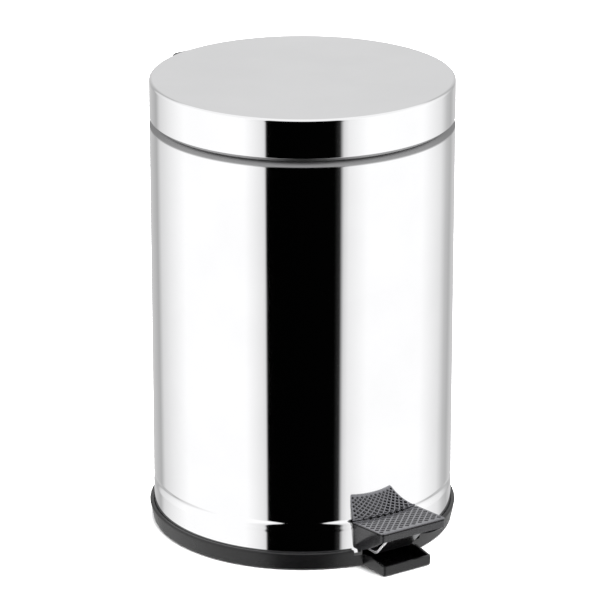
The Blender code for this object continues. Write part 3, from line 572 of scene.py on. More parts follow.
def ribTree():
    # shallow bars that stand round a centre, for the underside's moulded grooves
    tree, given = newTree("radialBars", {
        "Count": "Int", "Inner": "Float", "Length": "Float", "Width": "Float", "Depth": "Float"})
    half = addNode(tree, "ShaderNodeMath", {"operation": "MULTIPLY_ADD"}, {
        0: given["Length"], 1: 0.5, 2: given["Inner"]})
    ring = addNode(tree, "GeometryNodeCurvePrimitiveCircle", links={
        "Resolution": given["Count"], "Radius": half.outputs[0]})
    places = addNode(tree, "GeometryNodeCurveToPoints", {"mode": "EVALUATED"}, {
        "Curve": ring.outputs["Curve"]})
    size = addNode(tree, "ShaderNodeCombineXYZ", links={
        "X": given["Width"], "Y": given["Length"], "Z": given["Depth"]})
    one = addNode(tree, "GeometryNodeMeshCube", links={"Size": size.outputs["Vector"]})
    position = addNode(tree, "GeometryNodeInputPosition")
    turn = addNode(tree, "FunctionNodeAlignRotationToVector", {"axis": "Y"}, {
        "Vector": position.outputs["Position"]})
    bars = addNode(tree, "GeometryNodeInstanceOnPoints", links={
        "Points": places.outputs["Points"], "Instance": one.outputs["Mesh"],
        "Rotation": turn.outputs["Rotation"]})
    return endTree(tree, given, bars.outputs["Instances"])


def makeBase():
    b, r = base, bodyRadius
    foot, floorZ = b["foot"], b["foot"] + b["floor"]
    channel = r - body["wall"] - gap
    ring = r + gap + b["ringWall"]
    low = ring - b["ringTaper"]
    section = softened([
        (0, floorZ),
        (channel - b["lip"], floorZ, 1.0),
        (channel - b["lip"], ringTop - 2, 0.6),
        (channel, ringTop - 2, 0.6),
        (channel, sunkZ - gap, 0.2),
        (r + gap, sunkZ - gap, 0.2),
        (r + gap, ringTop, 0.8),
        (ring, ringTop, 2.6),
        (low, foot, 1.0),
        (0, foot),
    ], closed=False, arcSteps=6)
    obj = turned("basePan", section, blackPlastic, 256)
    reach, trayTop = b["trayReach"], foot + b["trayFront"]
    tray = [(10 - channel, foot), (-reach + 0.6, foot), (-reach, foot + 0.8), (-reach, trayTop),
            (-reach + b["trayWall"], trayTop), (-ring, b["padRearZ"] - 6), (10 - channel, b["padRearZ"] - 6)]
    box = prism(tray, -trayHalf, trayHalf)
    carve(box, prism(frontCorners(trayHalf, channel - 10, reach, 2.2), 0, ringTop, "Z"), "INTERSECT")
    carve(obj, rounded(box, 0.5), "UNION")
    inner = trayHalf - b["trayWall"]
    well = [(20 - channel, floorZ), (-reach + b["trayWall"], floorZ),
            (-reach + b["trayWall"] - 0.4, ringTop + 5), (20 - channel, ringTop + 5)]
    carve(obj, prism(well, -inner, inner, soft=0.6))
    side = b["padHalf"] + 1.5
    carve(obj, block((-side, -ring - 5, b["padRearZ"] - 7.2), (side, 15 - channel, ringTop + 5)))
    saddleOut, half = b["saddleX"] + b["saddleThick"], b["saddleHalf"]
    for way in (-1, 1):
        near, far = sorted((way * b["saddleX"], way * saddleOut))
        saddle = block((near, axleAt.y - half, floorZ - 1), (far, axleAt.y + half, axleAt.z + half), 1.2)
        carve(obj, saddle, "UNION")
    wide = saddleOut + 3
    carve(obj, bar((-wide, axleAt.y, axleAt.z), (wide, axleAt.y, axleAt.z), b["axleRadius"] + gap))
    bossTop = nodeBox("base_pan")[1].z
    for x, y in diagonals(b["bossRing"]):
        carve(obj, bar((x, y, floorZ - 1), (x, y, bossTop), b["bossRadius"] + 0.6, b["bossRadius"]), "UNION")
        carve(obj, bar((x, y, -1), (x, y, bossTop + 2), 1.8))
        carve(obj, bar((x, y, -1), (x, y, foot + 1.7), 3.5))
    for x, y in diagonals(b["footRing"]):
        carve(obj, bar((x, y, -1), (x, y, foot + 1.0), b["footRadius"] + gap, sides=48))
    bars = newObject("grooves", bpy.data.meshes.new("grooves"))
    useTree(bars, ribTree(), {
        "Count": b["ribCount"], "Inner": b["ribInner"] * mm, "Length": b["ribLength"] * mm,
        "Width": b["ribWidth"] * mm, "Depth": 2 * b["ribDepth"] * mm, "Material": blackPlastic})
    bars.data.transform(Matrix.Translation((0, 0, foot * mm)))
    carve(obj, bars)
    settle(obj, "basePan", "bin", blackPlastic, ["base_pan"], 32)


def makeFeet():
    top, radius = base["foot"] + 0.7, base["footRadius"]
    for number, (x, y) in enumerate(diagonals(base["footRing"]), 1):
        obj = bar((x, y, 0), (x, y, top), radius - 0.6, radius, sides=48, soft=0.35)
        carve(obj, bar((x, y, -1), (x, y, 0.5), 5.4, 5.0, sides=48))
        carve(obj, bar((x, y, 0), (x, y, 0.8), 2.6, sides=32), "UNION")
        settle(obj, f"rubberFoot{number}", "bin", blackRubber, [f"foot_{number}"])


makeBase()
makeFeet()
print("base moulded")


# ---- pedal ----

padLow, padHigh = nodeBox("pedal_pad")
pad = {
    "half": padHigh.x,
    "reach": -padLow.y,
    "frontZ": padHigh.z,
    "rearZ": 46.5,
    "front": 9.4,
    "rearBottom": padLow.z,
    "wall": 2.0,
    "top": 3.5,
    "clear": 0.6,
    "edge": 0.9,
    "corner": 3.2,
    "seam": 0.7,
    "pitch": 7.45,
    "pitRadius": 3.3,
    "pitDepth": 2.1,
    "pitFloor": 0.35,
    "pitColumns": 10,
    "pitRows": 6,
    # heights over the tread's plane between which the pits are painted black (painted shade) and the ridges grey
    # (painted highlight)
    "pitShadeDepth": -1.1,
    "ridgeHighlightHeight": -0.1,
    "knurlLow": (-2.6, -2.2),
    "rivets": (-11, 11),
}
rivet = {"radius": 2.0, "headRadius": 3.6, "head": 1.1}
treadTilt = atan2(pad["frontZ"] - pad["rearZ"], pad["reach"] - bodyRadius)


def treadZ(reach):
    return pad["frontZ"] - (pad["reach"] - reach) * tan(treadTilt)


def treadLook(tree, place):
    # painted light on the knurl: the ridges of the tread are painted grey as a painted highlight, and the pits
    # under them are painted black as painted shade
    colour, flow, bumps = mouldedLook("#1E1E20", "#161617")(tree, place)
    apart = addNode(tree, "ShaderNodeSeparateXYZ", links={"Vector": place}).outputs
    plane = addNode(tree, "ShaderNodeMath", {"operation": "MULTIPLY_ADD"}, {
        0: apart["Y"], 1: tan(treadTilt), 2: -treadZ(axisY / mm) * mm})
    over = addNode(tree, "ShaderNodeMath", {"operation": "ADD"}, {0: apart["Z"], 1: plane.outputs[0]})

    def between(low, high):
        # 0 to 1 between two heights over the plane of the tread
        return addNode(tree, "ShaderNodeMapRange", links={
            "Value": over.outputs[0], "From Min": low * mm, "From Max": high * mm}).outputs["Result"]
    # painted highlight on the ridges and painted shade in the pits, by height over the tread's plane
    ridgeHighlightPitShade = addNode(tree, "ShaderNodeMix", {"data_type": "RGBA"}, {
        "Factor": between(pad["pitShadeDepth"], pad["ridgeHighlightHeight"]), "A": linear("#080809"), "B": linear("#3C3C3F")})
    knurlPaintedLight = addNode(tree, "ShaderNodeMix", {"data_type": "RGBA"}, {
        "Factor": between(*pad["knurlLow"]), "A": colour, "B": ridgeHighlightPitShade.outputs["Result"]})
    return knurlPaintedLight.outputs["Result"], flow, bumps


treadPlastic = newMaterial("moulded_black_abs", treadLook, (0.10, 0.17), IOR=1.56)


def pitTree():
    # two grids of four-sided pits, one set half a pitch off the other, as a knurling cutter leaves
    tree, given = newTree("treadPits", {
        "Columns": "Int", "Rows": "Int", "Pitch": "Float", "Mouth": "Float", "Depth": "Float"})

    def math(operation, a, b):
        return addNode(tree, "ShaderNodeMath", {"operation": operation}, {0: a, 1: b}).outputs[0]

    grids = []
    for fewer in (0, 1):
        columns = math("SUBTRACT", given["Columns"], fewer)
        rows = math("SUBTRACT", given["Rows"], fewer)
        grid = addNode(tree, "GeometryNodeMeshGrid", links={
            "Vertices X": columns, "Vertices Y": rows,
            "Size X": math("MULTIPLY", math("SUBTRACT", columns, 1), given["Pitch"]),
            "Size Y": math("MULTIPLY", math("SUBTRACT", rows, 1), given["Pitch"])})
        grids.append(grid.outputs["Mesh"])
    both = addNode(tree, "GeometryNodeJoinGeometry")
    for grid in grids:
        tree.links.new(grid, both.inputs["Geometry"])
    pit = addNode(tree, "GeometryNodeMeshCone", links={
        "Vertices": 4, "Radius Top": given["Mouth"],
        "Radius Bottom": math("MULTIPLY", given["Mouth"], pad["pitFloor"]), "Depth": given["Depth"]})
    pits = addNode(tree, "GeometryNodeInstanceOnPoints", links={
        "Points": both.outputs["Geometry"], "Instance": pit.outputs["Mesh"]})
    return endTree(tree, given, pits.outputs["Instances"])


def seamTool(half, rear, reach, depth, height):
    # a channel that runs round the left, the front and the right of the tread plate, in the plate's own slope
    ring = prism(frontCorners(half + 5, rear, reach + 5, 3.0), -height, 0, "Z")
    core = prism(frontCorners(half - depth, rear + 1, reach - depth, 2.6), -height - 1, 1, "Z")
    return carve(ring, core)


def makePad():
    p, r = pad, bodyRadius
    rear, bottom, frontBottom = neck["radius"] - 10, p["rearBottom"], p["frontZ"] - p["front"]
    # the lower edge sweeps up from the base ring to the front lip
    sweep = []
    for i in range(11):
        t = i / 10
        y = -r - 2 - (p["reach"] - r - 3.5) * t
        sweep.append((y, bottom + 0.2 + (frontBottom - bottom - 0.2) * (0.35 * t + 0.65 * t ** 1.7)))
    outline = [(-rear, treadZ(rear)), (-rear, bottom)] + sweep
    outline += [(-p["reach"], frontBottom + 0.3), (-p["reach"], p["frontZ"] - 0.2)]
    obj = prism(outline, -p["half"], p["half"])
    carve(obj, prism(frontCorners(p["half"], rear, p["reach"], p["corner"]), 0, binHeight, "Z"), "INTERSECT")
    rounded(obj, p["edge"])
    front = p["reach"] - p["wall"]
    hollow = [(10 - rear, treadZ(rear - 10) - p["top"]), (10 - rear, 0), (-front, 0),
              (-front, treadZ(front) - p["top"])]
    inner = p["half"] - p["wall"]
    carve(obj, prism(hollow, -inner, inner, soft=0.8))
    # the rear lip reaches into the rolled groove; below the tread plate the pad stops clear of the wall
    lipZ = treadZ(r) - p["top"]
    way = r + p["clear"]
    lip = [(x, z) for x, z in (groove(i / 24, -p["clear"]) for i in range(25)) if z > lipZ]
    bodyWay = [(0, binHeight), (way, binHeight), *lip, (lip[-1][0], lipZ), (way, lipZ), (way, 0), (0, 0)]
    carve(obj, turned("bodyWay", bodyWay, treadPlastic, 256))
    seam = seamTool(p["half"], rear - 5, p["reach"], p["seam"], p["seam"])
    seam.data.transform(Matrix.Translation(Vector((0, 0, treadZ(0) - 1.5)) * mm)
                        @ Matrix.Rotation(-treadTilt, 4, "X"))
    carve(obj, seam)
    pits = newObject("pits", bpy.data.meshes.new("pits"))
    useTree(pits, pitTree(), {
        "Columns": p["pitColumns"], "Rows": p["pitRows"], "Pitch": p["pitch"] * mm,
        "Mouth": p["pitRadius"] * mm, "Depth": p["pitDepth"] * 1.25 * mm, "Material": treadPlastic})
    low = min(v.co.z for v in pits.data.vertices)
    pits.data.transform(Matrix.Translation((0, 0, -low - p["pitDepth"] * mm)))
    middle = p["reach"] - 3.4 - (p["pitRows"] - 1) * p["pitch"] / 2 - p["pitRadius"]
    pits.data.transform(Matrix.Translation(Vector((0, -middle, treadZ(middle))) * mm)
                        @ Matrix.Rotation(-treadTilt, 4, "X"))
    carve(obj, pits)
    for x in p["rivets"]:
        start, end = rivetLine(x, 9, p["top"] / 2 - gap)
        carve(obj, bar(start, end, rivet["radius"] + gap, sides=24))
    settle(obj, "pedalPad", "pedal", treadPlastic, ["pedal_pad"], 28)


def rivetLine(x, start, end):
    # from one depth to another under the middle of the lever's upper flange, square to the tread
    reach = (lever["top"] + lever["flangeRear"]) / 2
    top = Vector((x, -reach, treadZ(reach)))
    down = Vector((0, -sin(treadTilt), -cos(treadTilt)))
    return top + down * start, top + down * end


def leverLook(tree, place):
    # zinc-plated strip whose sheared edges stay bare; they are also painted near-white and less metallic, a
    # painted highlight where the edges catch the light
    colour, lines, bumps = pressedLook(tree, place)
    facing = addNode(tree, "ShaderNodeSeparateXYZ", links={
        "Vector": addNode(tree, "ShaderNodeTexCoord").outputs["Normal"]}).outputs["X"]
    side = addNode(tree, "ShaderNodeMath", {"operation": "ABSOLUTE"}, {0: facing})
    sheared = ramp(tree, side.outputs[0], [(0.55, 0.0), (0.75, 1.0)])
    # painted highlight: the side faces of the strip are mixed to near-white
    bareEdgePaintedHighlight = addNode(tree, "ShaderNodeMix", {"data_type": "RGBA"}, {
        "Factor": sheared, "A": colour, "B": linear("#F2F2F3")})
    shader = tree.nodes["Principled BSDF"]
    tree.links.new(addNode(tree, "ShaderNodeMapRange", links={
        "Value": sheared, "To Min": 1.0, "To Max": 0.35}).outputs["Result"], shader.inputs["Metallic"])
    return bareEdgePaintedHighlight.outputs["Result"], lines, bumps


lever = {"thick": 2.5, "half": 19.5, "tail": 13.0, "z": 14.25, "rear": 141.0, "knee": 155.0, "top": 182.5,
         "flangeRear": 155.0, "earHalf": 7.0, "bend": 3.5, "taperStart": 15.0, "taperEnd": 60.0}


def makeLever():
    v, flange = lever, pad["top"] + gap + lever["thick"] / 2
    centre = roundedPath([
        (0, -v["flangeRear"], treadZ(v["flangeRear"]) - flange),
        (0, -v["top"] - 0.6, treadZ(v["top"]) - flange),
        (0, -v["knee"], v["z"]),
        (0, v["rear"], v["z"]),
    ], v["bend"])
    sides = ([], [])
    for i, here in enumerate(centre):
        along = (centre[min(i + 1, len(centre) - 1)] - centre[max(i - 1, 0)]).normalized()
        out = Vector((-along.z, along.y)) * v["thick"] / 2
        for side, way in zip(sides, (1, -1)):
            side.append((here.y + way * out.x, here.z + way * out.y))
    obj = prism(sides[0] + sides[1][::-1], -v["half"], v["half"])
    for way in (-1, 1):
        near, far = sorted((way * (v["half"] - 2), way * v["half"]))
        front, behind = axleAt.y - v["earHalf"], axleAt.y + v["earHalf"]
        arch = [(axleAt.y + 6.2 * cos(a / 8 * pi), axleAt.z + 6 * sin(a / 8 * pi)) for a in range(1, 8)]
        ear = [(front, v["z"]), (behind, v["z"]), (behind, axleAt.z), *arch, (front, axleAt.z)]
        carve(obj, prism(ear, near, far), "UNION")
        begin, clearOf, past = axleAt.y + v["taperStart"], way * (v["half"] + 5), v["rear"] + 5
        taper = [(way * v["half"], begin), (way * v["tail"], axleAt.y + v["taperEnd"]),
                 (way * v["tail"], past), (clearOf, past), (clearOf, begin)]
        carve(obj, prism(taper, 0, 2 * axleAt.z, "Z"))
    wide = v["half"] + 5
    carve(obj, bar((-wide, axleAt.y, axleAt.z), (wide, axleAt.y, axleAt.z), base["axleRadius"] + gap))
    low, high = nodeBox("push_rod")
    radius = (high.y - low.y) / 2
    x, y = low.x + radius, (low.y + high.y) / 2
    slot = [(x + (radius + 0.5) * cos(a), y + (radius + 0.5) * sin(a) + (1.6 if sin(a) > 0 else 0))
            for a in (pi * k / 12 + 0.01 for k in range(24))]
    carve(obj, prism(slot, 0, 2 * axleAt.z, "Z"))
    for x in pad["rivets"]:
        start, end = rivetLine(x, 9, pad["top"])
        carve(obj, bar(start, end, rivet["radius"] + gap, sides=24))
    rounded(obj, 0.25, 50, 2)
    settle(obj, "pedalLever", "pedal", leverSteel, ["pedal_lever"], 30)


leverSteel = newMaterial("cold_rolled_steel_zinc_plated_sheared_edges", leverLook, (0.26, 0.42), 1.0)
makePad()
makeLever()
print("pedal pad moulded and knurled, lever bent")


# ---- hinge cover, bucket, bail and rod ----

cover = {"half": 50.0, "bottom": 409.0, "top": binHeight - 7.0, "wall": 1.6, "pocket": 25.0, "corner": 9.0,
         "bow": 3.0, "edge": 2.6}
rearY = nodeBox("lid_hinge_cover")[1].y


def makeCover():
    c, r = cover, bodyRadius
    half, near, side = c["half"], r - 25, rearY - c["bow"]
    plan = softened([(-half, near), (half, near), (half, side, c["corner"]), (half * 0.5, rearY, 60),
                     (-half * 0.5, rearY, 60), (-half, side, c["corner"])], arcSteps=8, support=0.1)
    obj = prism(plan, c["bottom"], c["top"], "Z", soft=c["edge"], segments=4)
    carve(obj, bar((0, 0, 0), (0, 0, 2 * binHeight), r + gap, sides=256))
    pocket = block((-c["pocket"], 0, 0), (c["pocket"], rearY - c["wall"], c["top"] - c["wall"]), 1.0)
    carve(obj, pocket)
    carve(obj, block((-c["pocket"], r, 0), (c["pocket"], rearY + 5, hingeAt.z + 3), 0.8))
    settle(obj, "hingeCover", "lid", blackPlastic, ["lid_hinge_cover"], 30)


bucket = {"topRadius": 133.0, "lowRadius": 118.0, "wall": 1.8, "rim": 4.0, "rimThick": 2.5, "flatY": 120.5,
          "foot": 3.0, "floor": 3.0, "bailZ": 400.0}


def makeBucket():
    b = bucket
    low, high = nodeBox("inner_bucket")
    slope = (b["topRadius"] - b["lowRadius"]) / (high.z - low.z)
    underRim, inset = high.z - b["rimThick"], b["flatY"] + b["rim"] / 2

    def wallAt(z, thick=0.0):
        return b["lowRadius"] + slope * (z - low.z) - thick

    outer = softened([
        (0, high.z),
        (b["topRadius"] + b["rim"], high.z, 1.2),
        (b["topRadius"] + b["rim"], underRim, 1.0),
        (wallAt(underRim), underRim, 0.8),
        (wallAt(low.z), low.z, 1.5),
        (b["lowRadius"] - 8, low.z, 1.0),
        (b["lowRadius"] - 8, low.z + b["foot"], 1.0),
        (0, low.z + b["foot"]),
    ], closed=False)
    obj = turned("bucket", outer, bucketPlastic, 192)
    far = 2 * bodyRadius
    floorZ = low.z + b["foot"] + b["floor"]
    flats = prism([(b["flatY"], 0), (far, 0), (far, binHeight), (inset, binHeight), (inset, underRim),
                   (b["flatY"], underRim)], -far, far)
    carve(obj, flats)
    cavity = turned("cavity", softened([
        (0, high.z + 5),
        (wallAt(high.z + 5, b["wall"]), high.z + 5),
        (wallAt(floorZ, b["wall"]), floorZ, 5.0),
        (0, floorZ),
    ], closed=False), bucketPlastic, 192)
    carve(cavity, block((-far, b["flatY"] - b["wall"], 0), (far, far, 2 * binHeight)))
    carve(obj, cavity)
    carve(obj, bar((-far, 0, b["bailZ"]), (far, 0, b["bailZ"]), 2.4))
    settle(obj, "innerBucket", "bucket", bucketPlastic, ["inner_bucket"], 30)


bail = {"radius": 2.0, "arc": 122.0, "grip": 46.0, "gripRadius": 7.0, "ringCount": 11, "ringDepth": 0.9}


def makeBail():
    b, z = bail, bucket["bailZ"]
    side = asin((b["grip"] + 5) / b["arc"])
    turns = [-pi + (pi / 2 - side) * i / 28 for i in range(29)]
    left = [(b["arc"] * cos(a), b["arc"] * sin(a), z) for a in turns]
    tip = nodeBox("bucket_bail")[1].x
    bend = roundedPath([(-tip, 0, z), left[0], left[2]], 3.0)
    path = bend[:-1] + [Vector(p) for p in left[2:-1]]
    path += roundedPath([left[-2], left[-1], (0, left[-1][1], z)], 6.0)[1:-1]
    path += [Vector((-p.x, p.y, p.z)) for p in reversed(path)]
    obj = wire("bail", path, b["radius"], 14)
    settle(obj, "bucketBail", "bail", drawnWire, ["bucket_bail"])
    y = -b["arc"] * cos(side)
    count, span = b["ringCount"], 2 * b["grip"]
    # a waisted sleeve with finger rings, turned along x
    shape = []
    for i in range(count * 8 + 1):
        t = i / (count * 8)
        ridge = b["ringDepth"] * 0.5 * (1 - cos(2 * pi * t * count))
        shape.append((b["gripRadius"] - b["ringDepth"] + ridge - 0.8 * sin(pi * t), (t - 0.5) * span))
    bore = b["radius"] + 0.4
    section = [(bore, -span / 2)] + shape + [(bore, span / 2)]
    work = bmesh.new()
    ring = [work.verts.new((u * mm, 0, r * mm)) for r, u in section]
    edges = [work.edges.new((ring[i], ring[(i + 1) % len(ring)])) for i in range(len(ring))]
    bmesh.ops.spin(work, geom=ring + edges, axis=(1, 0, 0), cent=(0, 0, 0), angle=2 * pi, steps=40,
                   use_merge=True)
    grip = newObject("grip", cleaned(meshOf(work, "grip")))
    grip.data.transform(Matrix.Translation((0, y * mm, z * mm)))
    settle(grip, "bailGrip", "bail", blackPlastic, ["bail_grip"], 40)


rod = {"radius": 2.0, "bend": 4.0, "step": 20.0}


def makeRod():
    low, high = nodeBox("push_rod")
    radius, step = rod["radius"], rod["step"]
    x, y, top = low.x + radius, (low.y + high.y) / 2, high.z - radius
    path = roundedPath([(x, y, low.z), (x, y, top), (high.x, y, top)], rod["bend"], 10)
    path = [Vector((x, y, low.z + step * i)) for i in range(int((top - low.z) / step))] + path[1:]
    settle(wire("rod", path, radius, 16), "pushRod", "rod", drawnWire, ["push_rod"])


makeCover()
makeBucket()
makeBail()
makeRod()
print("cover, bucket, bail and rod made")


# ---- fasteners, set out by Geometry Nodes ----

def setOutTree():
    # one master fastener stood on each point of a mesh
    tree, given = newTree("setOut", {"Master": "Object"})
    master = addNode(tree, "GeometryNodeObjectInfo", {"transform_space": "ORIGINAL"}, {
        "Object": given["Master"]})
    direction = addNode(tree, "GeometryNodeInputNamedAttribute", {"data_type": "FLOAT_VECTOR"}, {
        "Name": "along"})
    turn = addNode(tree, "FunctionNodeAlignRotationToVector", {"axis": "Z"}, {
        "Vector": direction.outputs["Attribute"]})
    each = addNode(tree, "GeometryNodeInstanceOnPoints", links={
        "Points": given["Geometry"], "Instance": master.outputs["Geometry"],
        "Rotation": turn.outputs["Rotation"]})
    return endTree(tree, given, each.outputs["Instances"])


fastenerTree = setOutTree()


def setOut(name, master, places, bodyName, nodes, material=None):
    # places: (point, direction) pairs; the master's z=0 sits on the point and its z runs along the direction
    mesh = bpy.data.meshes.new(name)
    mesh.from_pydata([Vector(p) * mm for p, _ in places], [], [])
    along = mesh.attributes.new("along", "FLOAT_VECTOR", "POINT")
    for item, (_, way) in zip(along.data, places):
        item.vector = Vector(way).normalized()
    obj = newObject(name, mesh)
    useTree(obj, fastenerTree, {"Master": master, "Material": material or zincSteel})
    bpy.data.objects.remove(master)
    if "along" in obj.data.attributes:
        obj.data.attributes.remove(obj.data.attributes["along"])
    return settle(obj, name, bodyName, material or zincSteel, nodes, 35)


def crossScrew(headRadius, head, shank, radius, flat=False):
    # z=0 is under the head; the shank runs to +z and the head stands below
    if flat:
        crown = [(headRadius, -head, 0.3), (headRadius, 0, 0.15)]
    else:
        crown = [(headRadius * 0.72, -head, head * 0.5), (headRadius, 0, 0.25)]
    profile = [(0, -head, 0), *crown, (radius, 0, 0.2), (radius, shank - 1.5), (0, shank)]
    obj = turnedSmall(softened([(r, -z, *rest) for r, z, *rest in profile], closed=False, arcSteps=4,
                               support=0.05))
    arm = headRadius * 0.42
    depth = head * 0.62
    for quarter in (0, 1):
        slot = block((-arm, -0.42, -head - 1), (arm, 0.42, -head + depth))
        slot.data.transform(Matrix.Rotation(quarter * pi / 2, 4, "Z"))
        carve(obj, slot)
    return obj


def turnedSmall(section, steps=40):
    # a small turned part on its own axis, from an (r, z) section whose z is upside down
    work = bmesh.new()
    verts = [work.verts.new((r * mm, 0, -z * mm)) for r, z in section]
    edges = [work.edges.new(pair) for pair in zip(verts, verts[1:])]
    if section[0][0] > 0:
        edges.append(work.edges.new((verts[-1], verts[0])))
    bmesh.ops.spin(work, geom=verts + edges, axis=(0, 0, 1), cent=(0, 0, 0), angle=2 * pi, steps=steps,
                   use_merge=True)
    return newObject("small", cleaned(meshOf(work, "small")))


def domedRivet(shank):
    radius, headRadius, head = rivet["radius"], rivet["headRadius"], rivet["head"]
    section = softened([(0, head), (headRadius * 0.8, head, head * 0.7), (headRadius, 0, 0.15),
                        (radius, 0, 0.15), (radius, -shank, 0.3), (0, -shank)],
                       closed=False, arcSteps=5, support=0.05)
    return turnedSmall(section)


def snapRing(inner, outer, thick):
    # an open clip: a ring with a mouth and two small ears of metal left at it
    obj = turnedSmall(softened([(outer, 0, 0.2), (outer, -thick, 0.2), (inner, -thick, 0.1), (inner, 0, 0.1)],
                               arcSteps=3, support=0.05))
    mouth = [(-inner * 0.45, 0), (inner * 0.45, 0), (outer * 0.9, outer * 1.4), (-outer * 0.9, outer * 1.4)]
    return carve(obj, prism(mouth, -1, thick + 1, "Z"))


def hexNut(across, height, bore):
    corner = across / sqrt(3)
    flats = [(corner * cos(pi / 3 * i), corner * sin(pi / 3 * i)) for i in range(6)]
    obj = prism(flats, 0, height, "Z")
    outside = corner * 1.02
    dome = turnedSmall([(0, 0), (across / 2 * 1.01, 0), (outside, -0.8), (outside, -height), (0, -height)])
    carve(obj, dome, "INTERSECT")
    return carve(obj, bar((0, 0, -1), (0, 0, height + 1), bore, sides=24))


def makeFasteners():
    low, high = nodeBox("base_screw_1")
    head = 1.4
    headTop = base["foot"] + head
    master = crossScrew(3.2, head, high.z - headTop, 1.5, flat=True)
    places = [((x, y, headTop), (0, 0, 1)) for x, y in diagonals(base["bossRing"])]
    setOut("baseScrews", master, places, "bin", [f"base_screw_{i}" for i in range(1, 5)])
    boxes = [nodeBox(f"bracket_screw_{i}") for i in (1, 2)]
    heights = [(a.z + b.z) / 2 for a, b in boxes]
    head = 1.8
    under = boxes[0][1].y - head
    master = crossScrew(3.6, head, under - boxes[0][0].y, 2.0)
    setOut("bracketScrews", master, [((0, under, z), (0, -1, 0)) for z in heights], "bin",
           ["bracket_screw_1", "bracket_screw_2"])
    nutNear = nodeBox("bracket_nut_1")
    setOut("bracketNuts", hexNut(6.9, nutNear[1].y - nutNear[0].y, 2.3),
           [((0, nutNear[1].y, z), (0, -1, 0)) for z in heights], "bin", ["bracket_nut_1", "bracket_nut_2"])
    guide = nodeBox("guide_rivet")
    x, z = (guide[0].x + guide[1].x) / 2, (guide[0].z + guide[1].z) / 2
    seat = guide[1].y - rivet["head"]
    setOut("guideRivet", domedRivet(seat - guide[0].y), [((x, seat, z), (0, -1, 0))], "bin",
           ["guide_rivet"], polishedSteel)
    for axle, at, inner, outer in (("hinge", hingeAt, 2.8, 4.3), ("axle", axleAt, 3.3, 5.3)):
        for side, way in (("left", -1), ("right", 1)):
            low, high = nodeBox(f"{axle}_clip_{side}")
            start = high.x if way < 0 else low.x
            setOut(f"{axle}Clip{side.title()}", snapRing(inner, outer, high.x - low.x),
                   [((start, at.y, at.z), (way, 0, 0))], "bin", [f"{axle}_clip_{side}"])
    rivets = [nodeBox(f"lid_rivet_{i}") for i in (1, 2)]
    inside = rivets[0][0].y + rivet["head"]
    setOut("lidRivets", domedRivet(rivets[0][1].y - inside),
           [(((a.x + b.x) / 2, inside, (a.z + b.z) / 2), (0, 1, 0)) for a, b in rivets], "lid",
           ["lid_rivet_1", "lid_rivet_2"])
    shank = 2 * gap + lever["thick"] + pad["top"]
    lines = [rivetLine(x, shank, pad["top"] / 2) for x in pad["rivets"]]
    setOut("padRivets", domedRivet((lines[0][1] - lines[0][0]).length),
           [(a, b - a) for a, b in lines], "pedal", ["pad_rivet_1", "pad_rivet_2"])


def dress():
    # CAD pieces whose shape is already right get their real finish
    finishes = {"pressed_steel": pressedSteel, "zinc_fasteners": zincSteel, "black_rubber": blackRubber,
                "steel_wire": drawnWire, "black_plastic": blackPlastic, "polished_steel": polishedSteel,
                "bucket_plastic": bucketPlastic}
    for part in frame["record"]["subparts"]:
        node = frame["nodes"][part["node"]]
        node.data.materials.clear()
        node.data.materials.append(finishes[part["material_slot"]])


makeFasteners()
dress()
print("fasteners set out and CAD pieces dressed")


# ---- studio ----

studio = {
    "azimuth": -34.0,
    "elevation": 19.37,
    "distance": 3.706,
    "lens": 228.6,
    "shift": (-0.0041, -0.0036),
    "floorRadius": 14.0,
    "white": 1.06,
    "ceiling": (0.56, 0.70),
    "topLight": 420.0,
    "topSize": 3.2,
    "topPlace": (0.3, -0.4, 3.0),
}


def makeCamera():
    s = studio
    a, e = radians(s["azimuth"]), radians(s["elevation"])
    back = Vector((sin(a) * cos(e), -cos(a) * cos(e), sin(e)))
    data = bpy.data.cameras.new("camera")
    data.lens, data.sensor_width = s["lens"], 36
    data.shift_x, data.shift_y = s["shift"]
    data.clip_end = 60
    obj = newObject("camera", data)
    target = Vector((0, axisY, binHeight * mm / 2))
    obj.location = target + back * s["distance"]
    obj.rotation_euler = (-back).to_track_quat("-Z", "Y").to_euler()
    bpy.context.scene.camera = obj


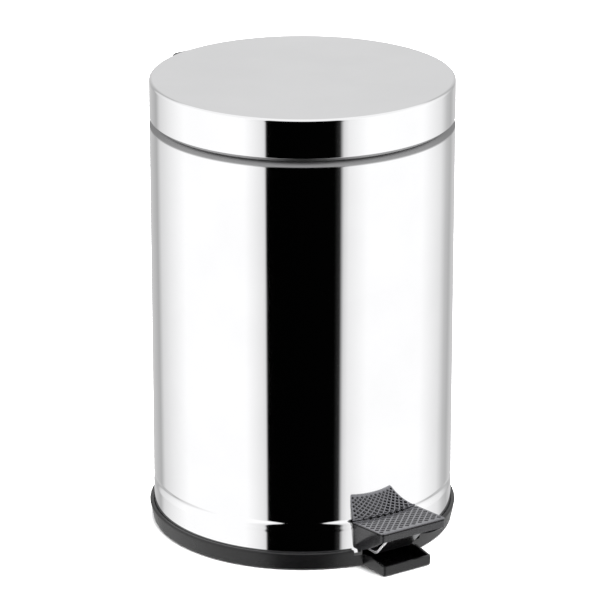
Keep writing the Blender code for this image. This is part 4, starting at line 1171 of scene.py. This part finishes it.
def makeWorld():
    # a white tent with a white ceiling, a dark curtain in front of the bin and dim corners behind it
    world = bpy.data.worlds.new("tent")
    bpy.context.scene.world = world
    world.use_nodes = True
    tree = world.node_tree
    tree.nodes.clear()
    way = addNode(tree, "ShaderNodeTexCoord").outputs["Generated"]
    a = radians(studio["azimuth"])
    toFront, toRight = (sin(a), -cos(a), 0), (cos(a), sin(a), 0)

    def dot(vector):
        return addNode(tree, "ShaderNodeVectorMath", {"operation": "DOT_PRODUCT"}, {
            0: way, 1: vector}).outputs["Value"]

    def math(operation, first, second=0.0, third=0.0):
        return addNode(tree, "ShaderNodeMath", {"operation": operation}, {
            0: first, 1: second, 2: third}).outputs[0]

    angle = math("ARCTAN2", dot(toRight), dot(toFront))
    turn = math("MULTIPLY_ADD", angle, 1 / (2 * pi), 0.5)
    walls = [(-180, "#D5D5D5"), (-152, "#B8B8B8"), (-143, "#ACACAC"), (-135, "#D6D6D6"), (-120, "#EAEAEA"),
             (-100, "#FFFFFF"), (-44, "#FFFFFF"), (-31, "#E6E6E6"), (-28.2, "#E0E0E0"), (-27.2, "#010101"),
             (24.5, "#020202"), (28.5, "#303030"), (30.5, "#D2D2D2"), (35, "#ECECEC"), (50, "#FFFFFF"),
             (102, "#FFFFFF"), (128, "#E2E2E2"), (139, "#BEBEBE"), (148, "#B0B0B0"), (157, "#C4C4C4"),
             (180, "#D5D5D5")]
    wall = ramp(tree, turn, [(0.5 + degree / 360, tone) for degree, tone in walls])
    height = addNode(tree, "ShaderNodeSeparateXYZ", links={"Vector": way}).outputs["Z"]
    rise = addNode(tree, "ShaderNodeMapRange", {"interpolation_type": "SMOOTHSTEP"}, {
        "Value": height, "From Min": studio["ceiling"][0], "From Max": studio["ceiling"][1]})
    tent = addNode(tree, "ShaderNodeMix", {"data_type": "RGBA"}, {
        "Factor": rise.outputs["Result"], "A": wall, "B": linear("#F4F4F4")})
    seen = addNode(tree, "ShaderNodeBackground", links={"Color": linear("#FFFFFF"), "Strength": 1.0})
    lit = addNode(tree, "ShaderNodeBackground", links={
        "Color": tent.outputs["Result"], "Strength": studio["white"]})
    ray = addNode(tree, "ShaderNodeLightPath").outputs["Is Camera Ray"]
    both = addNode(tree, "ShaderNodeMixShader", links={"Fac": ray, 1: lit.outputs[0], 2: seen.outputs[0]})
    addNode(tree, "ShaderNodeOutputWorld", links={"Surface": both.outputs[0]})


def makeFloor():
    shape = bmesh.new()
    bmesh.ops.create_circle(shape, cap_ends=True, segments=96, radius=studio["floorRadius"])
    obj = newObject("paleFloor", meshOf(shape, "floor"))
    obj.location.z = -0.0002

    def look(tree, place):
        soft = grain(tree, place, 3, 2)
        return ramp(tree, soft, [(0.3, "#F4F4F4"), (0.7, "#F7F7F7")]), None, []
    obj.data.materials.append(newMaterial("matt_white_paper", look, (0.9, 0.9)))
    obj.visible_glossy = False


def makeLight():
    data = bpy.data.lights.new("softbox", "AREA")
    data.shape, data.size, data.energy = "DISK", studio["topSize"], studio["topLight"]
    obj = newObject("softbox", data)
    obj.location = studio["topPlace"]
    obj.rotation_euler = (-obj.location).to_track_quat("-Z", "Y").to_euler()
    obj.visible_glossy = False


makeCamera()
makeWorld()
makeFloor()
makeLight()
bpy.context.scene.view_settings.view_transform = "Standard"
print("studio set")
